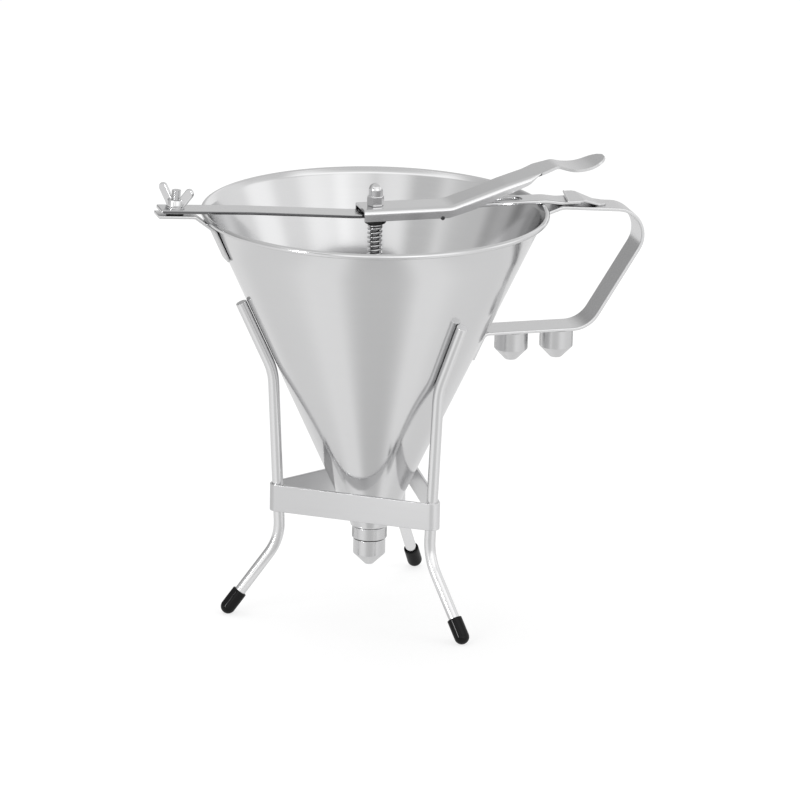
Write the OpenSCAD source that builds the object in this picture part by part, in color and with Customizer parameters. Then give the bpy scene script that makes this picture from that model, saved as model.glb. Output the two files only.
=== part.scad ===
// Pancake batter dispenser: a steel cone whose valve rod is lifted by a thumb lever, in a wire stand.
// Heights are counted from the floor. Everything is then moved down by the height of the outlet, so
// that the middle of the nozzle's mouth is the origin. +X runs to the handle, +Z up.

/* [Funnel] */
// outer diameter over the rolled rim
rim_diameter = 185; // [154:1:222]
// thickness of the roll on the rim
rim_bead = 3; // [2.5:0.1:3.6]
// angle between the cone's wall and its axis
cone_angle = 24.66; // [20.5:0.01:29.6]
// thickness of the cone's sheet
cone_sheet = 1; // [0.8:0.1:1.2]

/* [Spout and nozzle] */
// height of the nozzle's mouth above the floor
outlet_height = 25; // [21:0.5:30]
// outer diameter of the spout's collar and knurled ring
collar_diameter = 18.7; // [18:0.1:22]
// outer diameter of the thread that the nozzles screw on to
thread_diameter = 14; // [12:0.1:14.4]
// length of thread that a nozzle covers
thread_length = 4.8; // [4:0.1:5.4]
// height of the spout's collar between its groove and the cone
collar_run = 0.5; // [0.4:0.1:12]
// bore of the spout below the valve seat
spout_bore = 10; // [8.4:0.1:10.6]
// height of the knurled ring
ring_height = 6.5; // [5.4:0.1:7.8]
// thickness of the flat seal above the nozzle
seal_thickness = 0.6; // [0.5:0.05:0.7]
// outer diameter of the nozzle in use
nozzle_diameter = 17.3; // [16.6:0.1:20]
// height of the nozzle's straight part
nozzle_straight = 8.3; // [7:0.1:10]
// height of the nozzle's tapered part
nozzle_taper = 6.4; // [5.4:0.1:7.6]
// outer diameter of the nozzle's tip
tip_diameter = 4.2; // [4:0.1:5]
// diameter of the nozzle's outlet
outlet_diameter = 3; // [2.5:0.1:3.6]
// length of the nozzle's straight outlet
outlet_length = 3; // [2.5:0.1:3.4]

/* [Spare nozzles] */
// outer diameter of a spare nozzle
spare_diameter = 17.9; // [16.8:0.1:21]
// height of a spare nozzle's straight part
spare_straight = 9.9; // [8.4:0.1:11.8]
// height of a spare nozzle's tapered part
spare_taper = 6.1; // [5.2:0.1:7.2]
// outer diameter of a spare nozzle's tip
spare_tip = 6.2; // [5.2:0.1:7.4]
// outlet of the spare nozzle next to the cone
spare_outlet_1 = 4; // [3.4:0.1:4.8]
// outlet of the spare nozzle next to the grip
spare_outlet_2 = 3; // [2.5:0.1:3.6]
// distance between the two spare nozzles
spare_pitch = 25.2; // [22:0.1:30]

/* [Stand] */
// diameter of the leg wire
wire_diameter = 6; // [5:0.1:6.6]
// turn of the three legs about the cone's axis
stand_turn = -4.34; // [-5.2:0.01:-3.6]
// distance of a foot from the axis
foot_radius = 76.5; // [64:0.5:91]
// distance of the lower bend from the axis
low_bend_radius = 48.8; // [44:0.1:52]
// height of the lower bend
low_bend_height = 41.1; // [35:0.1:44]
// height of the upper bend
high_bend_height = 134.7; // [112:0.1:140]
// distance of the wire's upper end below the rim
wire_below_rim = 48.8; // [42:0.1:58]
// outer diameter of a foot cap
cap_diameter = 8.1; // [7.4:0.1:9.6]
// length of a foot cap
cap_length = 14.6; // [12.2:0.1:17]
// depth of the flat under a foot cap
cap_flat = 0.15; // [0.12:0.01:0.18]
// height of the band round the legs
band_height = 14.9; // [12.5:0.1:17.8]
// thickness of the band
band_sheet = 1.5; // [1.2:0.1:1.8]
// height of the band's lower edge above the floor
band_low = 57.5; // [52:0.5:68]

/* [Handle] */
// width of the handle strap
strap_width = 19; // [16:0.1:22.8]
// thickness of the handle strap
strap_sheet = 1.8; // [1.5:0.1:2]
// depth of the handle from the rim's top to its lower run
handle_drop = 69.7; // [58:0.1:83]
// reach of the handle's lower bend beyond the rim's middle line
handle_low_reach = 26.3; // [22:0.1:31.4]
// angle of the grip from the horizontal
grip_angle = 58.1; // [50:0.1:68]
// width of the clip on the handle
clip_width = 22.6; // [18.8:0.1:27]
// width of the clip's rounded end
clip_end = 12; // [10:0.1:14.4]
// thickness of the clip
clip_sheet = 1.2; // [1:0.1:1.4]

/* [Cross bar] */
// width of the cross bar
bar_width = 13.5; // [12:0.1:15]
// thickness of the cross bar
bar_sheet = 2; // [1.7:0.1:2.2]
// depth of the bar's middle below the rim's top
bar_sag = 3; // [2.5:0.1:3.6]
// width of the slot in the bar
slot_width = 8; // [6.7:0.1:9]
// width of the bracket that holds the bar
bracket_width = 12.6; // [10.6:0.1:15]
// thickness of the bracket
bracket_sheet = 1.6; // [1.4:0.1:1.9]
// thickness of the black spacer between bracket and bar
spacer_height = 1.2; // [1:0.1:1.4]
// diameter of the stud's thread
stud_diameter = 5; // [4.2:0.1:5.4]
// length of the stud above the bar
stud_length = 9.5; // [9.1:0.1:11.4]
// diameter of the wing nut's hub
wing_hub = 9.4; // [8.6:0.1:11.2]

/* [Lever and valve] */
// outer width of the lever
lever_width = 20; // [18.4:0.1:24]
// width of the lever's waist at the ridge
waist_width = 16; // [13.4:0.1:18]
// thickness of the lever's sheet
lever_sheet = 1.5; // [1.3:0.1:1.7]
// distance of the lever's knee from the rod
knee_distance = 39; // [37:0.1:44]
// radius under the lever's knee
knee_radius = 4; // [3.4:0.1:4.8]
// diameter of the keeper pin
keeper_diameter = 2.2; // [1.9:0.1:2.4]
// diameter of the valve rod
rod_diameter = 5; // [4.2:0.1:5.2]
// diameter of the stopper's disc
stopper_diameter = 13.6; // [12:0.1:14.6]
// size of the acorn nut across its flats
nut_flats = 8; // [6.9:0.1:8.6]
// diameter of the spring's wire
spring_wire = 1.2; // [1:0.05:1.3]
// length of the spring
spring_length = 36.8; // [31:0.1:44]
// number of turns of the spring
spring_turns = 16; // [14:1:18]
// outer diameter of the black buffer under the bar
buffer_diameter = 11.5; // [10:0.1:13]

/* [Hidden] */
$fn = 96;
touch_gap = 0.05;       // between pieces of one body that lie on each other
running_gap = 0.05;     // radial play of a thread or a pin that turns
guide_gap = 0.1;        // radial play of the rod in the bar
loose_gap = 0.35;       // radial play of a plain clearance hole
seat_gap = 0.15;        // between the legs and the cone
rest_gap = 0.02;        // under the acorn nut and the knee
arc_step = 6;           // degrees between the points of a strip's bend
wire_lap = 0.4;         // length that a wire's straight runs into its bend
bend_swell = 0.02;      // extra radius of a wire in its bends

// spout and nozzle
thread_radius = thread_diameter / 2;
nozzle_top = outlet_height + nozzle_taper + nozzle_straight;
ring_bottom = nozzle_top + seal_thickness;
ring_top = ring_bottom + ring_height;
groove = 0.3;           // between collar and knurled ring
groove_depth = 0.75;
collar_bottom = ring_top + groove;
weld_height = collar_bottom + collar_run;
seat_height = weld_height;
tail_bottom = nozzle_top - thread_length;
socket_play = 0.2;      // below the thread in a nozzle
socket_chamfer = 1.2;

// cone and rim
rim_radius = rim_diameter / 2 - rim_bead / 2;
rim_step = 1.35;        // from the roll's middle line to the wall
wall_radius = rim_radius - rim_step;
collar_radius = collar_diameter / 2;
weld_step = 0.8295;     // from the collar's side out to the cone
weld_radius = collar_radius + weld_step;
cone_slope = tan(cone_angle);
bead_height = weld_height + (wall_radius - weld_radius) / cone_slope;
rim_height = bead_height + rim_bead / 2;
wall_across = cone_sheet / cos(cone_angle);
function cone_radius(height) = wall_radius - (bead_height - height) * cone_slope;

// stand
leg_angles = [180 + stand_turn, 300 + stand_turn, 420 + stand_turn];
wire_radius = wire_diameter / 2;
wire_offset = (wire_radius + seat_gap) / cos(cone_angle);
cap_radius = cap_diameter / 2;
foot_height = cap_radius - cap_flat;
low_bend = 28;          // bend radii of the wire
high_bend = 34;
wire_top_height = rim_height - wire_below_rim;
leg_points = [
    [foot_radius, foot_height],
    [low_bend_radius, low_bend_height],
    [cone_radius(high_bend_height) + wire_offset, high_bend_height],
    [cone_radius(wire_top_height) + wire_offset, wire_top_height]
];
band_middle = band_low + band_height / 2;
upright = leg_points[2] - leg_points[1];
band_radius = leg_points[1][0] + upright[0] * (band_middle - leg_points[1][1]) / upright[1];

// handle
strap_offset = (strap_sheet / 2 + touch_gap) / cos(cone_angle);
strap_below_rim = 1.3;
strap_tab = 14;         // length of the strap's lower tab on the cone
strap_tongue = 5;       // height of the upper run's end above the lower run
strap_top = rim_height - strap_below_rim;
top_run = strap_top - strap_sheet / 2;
top_fall = 4.75;        // slope of the strap from the shoulder down to the grip
low_run = rim_height - handle_drop;
grip_bend = 14.7;
low_handle_bend = 16;
function on_cone(height, offset) = [cone_radius(height) + offset, height];
shoulder_reach = 10;    // of the strap's shoulder beyond the rim
shoulder_lift = 0.15;   // of its corner, which the bend takes off again
shoulder_fall = 18.6;   // slope of the strap between shoulder and cone
shoulder = [rim_radius + shoulder_reach, top_run + shoulder_lift];
shoulder_aim = shoulder - [cos(shoulder_fall), sin(shoulder_fall)];
grip_foot = [rim_radius + handle_low_reach, low_run];
strap_points = [
    on_cone(low_run - strap_tab, strap_offset),
    on_cone(low_run, strap_offset),
    grip_foot,
    meet(grip_foot, grip_foot + [cos(grip_angle), sin(grip_angle)],
        shoulder, shoulder + [cos(top_fall), -sin(top_fall)]),
    shoulder,
    meet(shoulder, shoulder_aim, on_cone(0, strap_offset), on_cone(100, strap_offset)),
    on_cone(low_run + strap_tongue, strap_offset)
];
tab_bend = 4;
shoulder_bend = 12;
strap_bends = [0, tab_bend, low_handle_bend, grip_bend, shoulder_bend, tab_bend, 0];
spare_inset = 14.3;     // of the first spare nozzle from the rim's middle line
spare_gap = 0.1;        // between strap and spare nozzle
spare_1 = rim_radius - spare_inset;
spare_top = low_run - strap_sheet / 2 - spare_gap;

// cross bar, by the line of its underside
bar_left_reach = 26.4;  // beyond the rim's middle line
bar_left_rise = 4.9;    // above the rim, at the left end
bar_bend_inset = 21;    // of the left bend from the rim
bar_bend_rise = 2;
flat_left = -11;        // the level middle of the bar
flat_right = 14;
bar_climb_inset = 29;   // of the bend before the right rim
bar_over_rim = 2;       // the run over the rim
bar_step_reach = 10;    // end of the step down to the strap
bar_right_reach = 21.5;
bar_right = rim_height + touch_gap;
bar_low = rim_height - bar_sag;
bar_end_height = strap_top + touch_gap;
bar_under = [
    [-rim_radius - bar_left_reach, rim_height + bar_left_rise],
    [-rim_radius + bar_bend_inset, rim_height + bar_bend_rise],
    [flat_left, bar_low],
    [flat_right, bar_low],
    [rim_radius - bar_climb_inset, bar_right],
    [rim_radius + bar_over_rim, bar_right],
    [rim_radius + bar_step_reach, bar_end_height],
    [rim_radius + bar_right_reach, bar_end_height]
];
bar_rise = [for (p = bar_under) [p[0], p[1] + bar_sheet / 2]];
soft_bend = 80;         // radii of the bar's bends
step_bend = 10;
bar_bends = [0, soft_bend, soft_bend, soft_bend, soft_bend, step_bend, step_bend, 0];
slot_run = 20;          // between the middles of the slot's round ends
slot_inset = 10.5;      // of the slot's end from the rim's middle line
left_run = bar_under[1] - bar_under[0];
bar_tilt = atan2(-left_run[1], left_run[0]);
stud_from_end = 8.7;
stud_foot = bar_under[0] + stud_from_end * left_run / norm(left_run);
spacer_radius = 4.6;
washer_height = 0.8;
washer_diameter = 10.4;

// bracket under the bar's left end
flange_reach = 9.8;     // beyond the stud
tab_length = 21.7;      // height of the tab on the cone
bracket_bends = [0, 2.5, 3, 0];
flange_drop = spacer_height + bracket_sheet / 2;
flange_start = stud_foot - flange_drop * [sin(bar_tilt), cos(bar_tilt)];
flange_way = [cos(bar_tilt), -sin(bar_tilt)];
slant_angle = 37.9;     // slope of the bracket between flange and cone
slant_way = [cos(slant_angle), -sin(slant_angle)];
slant_off = rim_bead / 2 + touch_gap + bracket_sheet / 2;
slant_point = [-rim_radius, bead_height] - slant_off * [sin(slant_angle), cos(slant_angle)];
tab_offset = (bracket_sheet / 2 + touch_gap) / cos(cone_angle);
tab_high = [-cone_radius(bead_height) - tab_offset, bead_height];
tab_low = [-cone_radius(bead_height - tab_length) - tab_offset, bead_height - tab_length];
bracket_points = [
    flange_start - flange_reach * flange_way,
    meet(flange_start, flange_start + flange_way, slant_point, slant_point + slant_way),
    meet(slant_point, slant_point + slant_way, tab_high, tab_low),
    tab_low
];

// lever: the knee rolls on the bar's upper side
knee_run = bar_rise[4] - bar_rise[3];
knee_tilt = atan2(knee_run[1], knee_run[0]);
bar_top_at_knee = bar_low + (knee_distance - bar_under[3][0]) * tan(knee_tilt)
    + bar_sheet / 2 + bar_sheet / 2 / cos(knee_tilt);
pivot_height = bar_top_at_knee + (knee_radius + rest_gap) / cos(knee_tilt);
plate_under = pivot_height - knee_radius;
plate_middle = plate_under + lever_sheet / 2;
plate_top = plate_under + lever_sheet;
lever_left = -8.4;
arm_slope = 18.6;       // of the lever's arm behind the knee
arm_run = 31;           // from the knee to the arm's second bend
ridge_run = 59.2;       // from the knee to the ridge
ridge_rise = 8.45;      // of the ridge above the second bend
dip = [12.3, -3.4];     // from the ridge to the hollow for the thumb
lip = [27.4, 2.8];      // from the ridge to the lever's tip
arm_bend = 60;
ridge_bend = 6;
thumb_bend = 25;
arm_middle = knee_distance + arm_run;
flange_depth = 6.35;    // depth of the lever's sides from its upper face
keeper_back = 4.6;      // of the keeper pin from the knee
keeper_drop = 4.73;     // of the keeper pin below the plate
ear_wall = 0.9;         // round the keeper pin
keeper = [knee_distance - keeper_back, plate_under - keeper_drop];
ear_radius = keeper_diameter / 2 + ear_wall;
knee_corner = [knee_distance + (knee_radius - lever_sheet / 2) * tan(arm_slope / 2), plate_middle];
arm_corner = [arm_middle, plate_middle + (arm_middle - knee_corner[0]) * tan(arm_slope)];
ridge = [knee_distance + ridge_run, arm_corner[1] + ridge_rise];
plate_points = [
    [lever_left, plate_middle],
    knee_corner,
    arm_corner,
    ridge,
    ridge + dip,
    ridge + lip
];
plate_bends = [0, knee_radius - lever_sheet / 2, arm_bend, ridge_bend, thumb_bend, 0];

// valve rod
rod_radius = rod_diameter / 2;
rod_sink = 0.6;         // of the rod's end below the seat
rod_bottom = seat_height - rod_sink;
nut_bottom = plate_top + rest_gap;
nut_corner = nut_flats / 2 / cos(30);
nut_height = 5.4;
dome_inset = 0.25;      // of the dome from the hexagon's flats
dome_neck = 3;          // of the dome's straight part
dome_radius = nut_flats / 2 - dome_inset;
dome_middle = nut_bottom + nut_height + dome_neck;
buffer_height = 4.4;
buffer_bottom = bar_low - buffer_height;
collar_height = 4;
spring_bottom = buffer_bottom - spring_length;
spring_play = 0.5;      // between rod and spring
spring_link = 0.3;      // by which a link is thinner than the wire
spring_radius = rod_radius + spring_play + spring_wire / 2;

// point where the line through a and b meets the line through c and d
function meet(a, b, c, d) =
    let (e = b - a, f = d - c, g = c - a)
    a + e * (g[0] * f[1] - g[1] * f[0]) / (e[0] * f[1] - e[1] * f[0]);

// turn of the path at point i, anticlockwise positive
function turn_at(points, i) =
    let (u = points[i] - points[i - 1], v = points[i + 1] - points[i])
    atan2(u[0] * v[1] - u[1] * v[0], u * v);

// length that the bend at point i takes from each of its two straights
function bend_cut(points, bends, i) =
    i <= 0 || i >= len(points) - 1 ? 0 : bends[i] * tan(abs(turn_at(points, i)) / 2);

// middle of the bend at point i
function bend_middle(points, bends, i) =
    let (way = way_to(points, i), side = sign(turn_at(points, i)))
    points[i] - way * bend_cut(points, bends, i) + side * bends[i] * [-way[1], way[0]];

// direction of the path as it reaches point i
function way_to(points, i) = (points[i] - points[i - 1]) / norm(points[i] - points[i - 1]);

// direction from the middle of the bend at point i to the bend's start
function bend_from(points, i) =
    let (way = way_to(points, i), side = sign(turn_at(points, i)))
    atan2(-side * way[0], side * way[1]);

// one edge of a strip, a distance off to the left of its middle line
function strip_edge(points, bends, off) =
    let (last = len(points) - 1, first_way = way_to(points, 1), last_way = way_to(points, last))
    concat(
        [points[0] + off * [-first_way[1], first_way[0]]],
        [for (i = [1 : last - 1])
            let (turn = turn_at(points, i), steps = ceil(abs(turn) / arc_step))
            for (k = [0 : steps])
                let (a = bend_from(points, i) + turn * k / steps)
                bend_middle(points, bends, i) + (bends[i] - sign(turn) * off) * [cos(a), sin(a)]],
        [points[last] + off * [-last_way[1], last_way[0]]]
    );

// strip bent along points in the XZ plane
module strip(points, bends, thickness, width) {
    left = strip_edge(points, bends, thickness / 2);
    right = strip_edge(points, bends, -thickness / 2);
    rotate([90, 0, 0])
        linear_extrude(width, center = true)
            polygon(concat(left, [for (i = [len(right) - 1 : -1 : 0]) right[i]]));
}

// wire bent along points in the XZ plane, its bends a little thicker than its straights
module wire(points, bends, radius) {
    last = len(points) - 1;
    for (i = [0 : last - 1]) {
        way = way_to(points, i + 1);
        start = bend_cut(points, bends, i) - (i == 0 ? 0 : wire_lap);
        end = norm(points[i + 1] - points[i]) - bend_cut(points, bends, i + 1)
            + (i == last - 1 ? 0 : wire_lap);
        translate([points[i][0], 0, points[i][1]])
            rotate([0, atan2(way[0], way[1]), 0])
                translate([0, 0, start])
                    cylinder(h = end - start, r = radius);
    }
    for (i = [1 : last - 1]) {
        middle = bend_middle(points, bends, i);
        turn = turn_at(points, i);
        translate([middle[0], 0, middle[1]])
            rotate([90, 0, 0])
                rotate([0, 0, bend_from(points, i) + min(turn, 0)])
                    rotate_extrude(angle = abs(turn))
                        translate([bends[i], 0])
                            circle(r = radius + bend_swell);
    }
}

module ring(bottom, height, inner_radius, outer_radius) {
    translate([0, 0, bottom])
        difference() {
            cylinder(h = height, r = outer_radius);
            translate([0, 0, -1])
                cylinder(h = height + 2, r = inner_radius);
        }
}

// puts the children in the frame of the outlet
module placed() {
    translate([0, 0, -outlet_height])
        children();
}

// frame of the stud: its foot is on the bar's underside, its Z along the stud
module on_stud() {
    translate([stud_foot[0], 0, stud_foot[1]])
        rotate([0, bar_tilt, 0])
            children();
}

module leg_wire(i) {
    rotate([0, 0, leg_angles[i]])
        wire(leg_points, [0, low_bend, high_bend, 0], wire_radius);
}

module foot_cap(i) {
    toe = leg_points[1] - leg_points[0];
    difference() {
        rotate([0, 0, leg_angles[i]])
            translate([foot_radius, 0, foot_height])
                rotate([0, atan2(toe[0], toe[1]), 0])
                    difference() {
                        union() {
                            sphere(r = cap_radius);
                            cylinder(h = cap_length - cap_radius, r = cap_radius);
                        }
                        cylinder(h = cap_length, r = wire_radius);
                    }
        translate([0, 0, -cap_diameter])
            cylinder(h = cap_diameter, r = foot_radius + cap_length);
    }
}

module stand_leg_left() {
    color("silver")
        placed()
            leg_wire(0);
}

module stand_leg_right() {
    color("silver")
        placed()
            leg_wire(1);
}

module stand_leg_back() {
    color("silver")
        placed()
            leg_wire(2);
}

module foot_cap_left() {
    color("black")
        placed()
            foot_cap(0);
}

module foot_cap_right() {
    color("black")
        placed()
            foot_cap(1);
}

module foot_cap_back() {
    color("black")
        placed()
            foot_cap(2);
}

// outline round the three wires, a distance from their middle lines
function band_outline(distance) =
    [for (angle = leg_angles)
        for (a = [-60 : arc_step : 60])
            band_radius * [cos(angle), sin(angle)] + distance * [cos(angle + a), sin(angle + a)]];

// band: rounded triangle, cut where the wires are welded in
module stand_band() {
    color("silver")
        placed()
            difference() {
                translate([0, 0, band_low])
                    linear_extrude(band_height)
                        difference() {
                            polygon(band_outline(wire_radius + band_sheet));
                            polygon(band_outline(wire_radius));
                        }
                for (i = [0 : 2])
                    leg_wire(i);
            }
}

// rolled rim: the wall runs up into the roll
module funnel_cone() {
    web = 0.9;          // half the height of the sheet between wall and roll
    top = bead_height + web;
    color("gainsboro")
        placed()
            rotate_extrude() {
                polygon([
                    [weld_radius, weld_height],
                    [cone_radius(top), top],
                    [cone_radius(top) - wall_across, top],
                    [weld_radius - wall_across, weld_height]
                ]);
                translate([wall_radius - wall_across / 2, bead_height - web])
                    square([rim_step + wall_across / 2, 2 * web]);
                translate([rim_radius, bead_height])
                    circle(d = rim_bead);
            }
}

// spout: collar, flat valve seat and threaded tail
module spout() {
    collar_chamfer = 0.3;
    land_radius = collar_radius - groove_depth;
    color("silver")
        placed()
            rotate_extrude()
                polygon([
                    [weld_radius - wall_across, weld_height],
                    [weld_radius, weld_height],
                    [collar_radius, weld_height - collar_chamfer],
                    [collar_radius, collar_bottom],
                    [land_radius, collar_bottom],
                    [land_radius, ring_top],
                    [thread_radius, ring_top],
                    [thread_radius, tail_bottom],
                    [spout_bore / 2, tail_bottom],
                    [spout_bore / 2, seat_height]
                ]);
}

module knurled_ring() {
    color("silver")
        placed()
            ring(ring_bottom, ring_height, thread_radius, collar_radius);
}

module nozzle_seal() {
    inset = 0.2;        // from the nozzle's side
    color("dimgray")
        placed()
            ring(nozzle_top, seal_thickness, thread_radius + 2 * running_gap, nozzle_diameter / 2 - inset);
}

// nozzle with its mouth at height 0: straight part, taper, outlet, thread socket
module nozzle_body(outer, straight, taper, tip, outlet, outlet_run, socket) {
    top = straight + taper;
    rotate_extrude()
        polygon([
            [outer / 2, top],
            [outer / 2, taper],
            [tip / 2, 0],
            [outlet / 2, 0],
            [outlet / 2, outlet_run],
            [spout_bore / 2, top - socket - socket_chamfer],
            [spout_bore / 2, top - socket],
            [thread_radius + running_gap, top - socket],
            [thread_radius + running_gap, top]
        ]);
}

module nozzle() {
    color("silver")
        nozzle_body(nozzle_diameter, nozzle_straight, nozzle_taper, tip_diameter,
            outlet_diameter, outlet_length, thread_length + socket_play);
}

module spare_nozzle(x, outlet) {
    placed()
        translate([x, 0, spare_top - spare_straight - spare_taper])
            nozzle_body(spare_diameter, spare_straight, spare_taper, spare_tip,
                outlet, outlet_length, thread_length + socket_play);
}

module spare_nozzle_1() {
    color("silver")
        spare_nozzle(spare_1, spare_outlet_1);
}

module spare_nozzle_2() {
    color("silver")
        spare_nozzle(spare_1 + spare_pitch, spare_outlet_2);
}

// two threaded bosses under the handle's lower run
module spare_studs() {
    color("silver")
        placed()
            for (x = [spare_1, spare_1 + spare_pitch])
                translate([x, 0, low_run - strap_sheet / 2 - thread_length])
                    cylinder(h = thread_length, r = thread_radius);
}

module handle_strap() {
    color("gainsboro")
        placed()
            strip(strap_points, strap_bends, strap_sheet, strap_width);
}

// clip: turned-up lip, straight over the bar's end, foot welded to the strap
module handle_clip() {
    over = bar_end_height + bar_sheet + touch_gap + clip_sheet / 2;
    start = rim_radius + 12.8;
    lip_out = [-1.9, 1.4];
    clip_bends = [0, 1.2, 3, 8, 0];
    straight = 9;
    wide_run = 6.2;     // from the lip to where the clip begins to narrow
    slope_run = 18;
    foot_run = 23.7;
    tip = start + foot_run;
    foot_offset = ((strap_sheet + clip_sheet) / 2 + touch_gap) / cos(top_fall);
    function foot_height(x) = shoulder[1] + foot_offset - (x - shoulder[0]) * tan(top_fall);
    points = [
        [start + lip_out[0], over + lip_out[1]],
        [start, over],
        [start + straight, over],
        [start + slope_run, foot_height(start + slope_run)],
        [tip, foot_height(tip)]
    ];
    color("gainsboro")
        placed()
            intersection() {
                strip(points, clip_bends, clip_sheet, clip_width + 1);
                translate([0, 0, low_run])
                    linear_extrude(2 * handle_drop)
                        union() {
                            polygon([
                                [0, -clip_width / 2],
                                [start + wide_run, -clip_width / 2],
                                [tip - clip_end / 2, -clip_end / 2],
                                [tip - clip_end / 2, clip_end / 2],
                                [start + wide_run, clip_width / 2],
                                [0, clip_width / 2]
                            ]);
                            translate([tip - clip_end / 2, 0])
                                circle(d = clip_end);
                        }
            }
}

module bar_bracket() {
    color("gainsboro")
        placed()
            difference() {
                strip(bracket_points, bracket_bends, bracket_sheet, bracket_width);
                on_stud()
                    translate([0, 0, -flange_drop - bracket_sheet])
                        cylinder(h = 2 * bracket_sheet, d = stud_diameter);
            }
}

module bracket_stud() {
    foot = spacer_height + bracket_sheet;
    color("silver")
        placed()
            on_stud()
                translate([0, 0, -foot])
                    cylinder(h = foot + bar_sheet + stud_length, d = stud_diameter);
}

module bar_spacer() {
    color("black")
        placed()
            on_stud()
                ring(rest_gap - spacer_height, spacer_height - 2 * rest_gap, stud_diameter / 2 + touch_gap,
                    spacer_radius);
}

module wing_washer() {
    color("silver")
        placed()
            on_stud()
                ring(bar_sheet, washer_height, stud_diameter / 2 + loose_gap, washer_diameter / 2);
}

// wing nut: hub and two slanted round-ended wings
module wing_nut() {
    hub_bottom = bar_sheet + washer_height;
    hub_height = 3.9;
    wing_sheet = 2;
    wing_length = 8.6;
    wing_depth = 5;
    wing_lean = 37;
    wing_turn = 128;    // of the nut on the stud at rest
    wing_root = [3.6, 0, 1.6];
    hub_taper = 0.5;
    color("silver")
        placed()
            on_stud()
                translate([0, 0, hub_bottom])
                    rotate([0, 0, wing_turn])
                        difference() {
                            union() {
                                cylinder(h = hub_height, r1 = wing_hub / 2, r2 = wing_hub / 2 - hub_taper);
                                for (turn = [0, 180])
                                    rotate([0, 0, turn])
                                        translate(wing_root)
                                            rotate([90, 0, 0])
                                                rotate([0, 0, 90 - wing_lean])
                                                    translate([0, 0, -wing_sheet / 2])
                                                        linear_extrude(wing_sheet) {
                                                            translate([0, -wing_depth / 2])
                                                                square([wing_length, wing_depth]);
                                                            translate([wing_length, 0])
                                                                circle(d = wing_depth);
                                                        }
                            }
                            translate([0, 0, -1])
                                cylinder(h = hub_height + stud_length, r = stud_diameter / 2 + running_gap);
                            translate([0, 0, -washer_diameter])
                                cylinder(h = washer_diameter, r = washer_diameter);
                        }
}

module cross_bar() {
    slot_right = rim_radius - slot_inset - slot_width / 2;
    slot_left = slot_right - slot_run;
    color("gainsboro")
        placed()
            difference() {
                strip(bar_rise, bar_bends, bar_sheet, bar_width);
                translate([0, 0, bar_low - 1])
                    cylinder(h = bar_sheet + 2, r = rod_radius + guide_gap);
                on_stud()
                    translate([0, 0, -1])
                        cylinder(h = bar_sheet + 2, r = stud_diameter / 2 + loose_gap);
                translate([0, 0, bar_low - 1])
                    linear_extrude(2 * bar_sag + bar_sheet) {
                        translate([slot_left, -slot_width / 2])
                            square([slot_right - slot_left, slot_width]);
                        for (x = [slot_left, slot_right])
                            translate([x, 0])
                                circle(d = slot_width);
                    }
            }
}

module spring_buffer() {
    color("black")
        placed()
            ring(buffer_bottom, bar_low - buffer_bottom, rod_radius + loose_gap, buffer_diameter / 2);
}

// spring: level turns, each joined to the next by a short link on alternate sides
module spring() {
    pitch = (spring_length - spring_wire - 2 * rest_gap) / (spring_turns - 1);
    low = spring_bottom + rest_gap + spring_wire / 2;
    color("silver")
        placed()
            union() {
                for (i = [0 : spring_turns - 1])
                    translate([0, 0, low + pitch * i])
                        rotate_extrude()
                            translate([spring_radius, 0])
                                circle(d = spring_wire);
                for (i = [0 : spring_turns - 2])
                    rotate([0, 0, 180 * (i % 2)])
                        translate([spring_radius, 0, low + pitch * i])
                            cylinder(h = pitch, d = spring_wire - spring_link);
            }
}

// lever: bent plate with two sides and an ear on each for the keeper pin
module lever() {
    side_low = plate_top - flange_depth;
    half = lever_width / 2;
    hole_play = 0.5;    // radial, round the rod
    side_end_low = [12, 0];
    side_end_high = [17, 4.8];
    waist = (lever_width - waist_width) / 2;
    waist_run = 10;     // from the ridge to where the lever is full width again
    waist_steps = 16;
    function waist_point(k, side) =
        [ridge[0] + waist_run * (2 * k / waist_steps - 1),
            side * (half - waist * (1 - cos(360 * k / waist_steps)) / 2)];
    side_points = [
        [lever_left, plate_middle],
        [lever_left, side_low],
        [knee_distance - 1, side_low],
        [knee_distance + 13, side_low + 4],
        arm_corner + side_end_low,
        arm_corner + side_end_high,
        arm_corner,
        knee_corner
    ];
    tip = plate_points[5][0];
    color("gainsboro")
        placed()
            difference() {
                union() {
                    intersection() {
                        strip(plate_points, plate_bends, lever_sheet, lever_width);
                        translate([0, 0, low_run])
                            linear_extrude(3 * handle_drop)
                                union() {
                                    polygon(concat(
                                        [[lever_left - 1, half], [lever_left - 1, -half]],
                                        [for (k = [0 : waist_steps]) waist_point(k, -1)],
                                        [[tip - half, -half], [tip - half, half]],
                                        [for (k = [waist_steps : -1 : 0]) waist_point(k, 1)]
                                    ));
                                    translate([tip - half, 0])
                                        circle(d = lever_width);
                                }
                    }
                    for (y = [-half + lever_sheet, half])
                        translate([0, y, 0])
                            rotate([90, 0, 0])
                                linear_extrude(lever_sheet) {
                                    polygon(side_points);
                                    translate(keeper)
                                        circle(r = ear_radius);
                                }
                }
                translate([0, 0, plate_under - 1])
                    cylinder(h = lever_sheet + 2, r = rod_radius + hole_play);
                translate([keeper[0], lever_width, keeper[1]])
                    rotate([90, 0, 0])
                        cylinder(h = 2 * lever_width, d = keeper_diameter);
            }
}

module keeper_pin() {
    proud = 0.4;        // of the pin's ends beyond the ears
    run = lever_width + 2 * proud;
    color("black")
        placed()
            translate([keeper[0], run / 2, keeper[1]])
                rotate([90, 0, 0])
                    cylinder(h = run, d = keeper_diameter);
}

module valve_rod() {
    color("silver")
        placed()
            translate([0, 0, rod_bottom])
                cylinder(h = dome_middle - rod_bottom, r = rod_radius);
}

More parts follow.
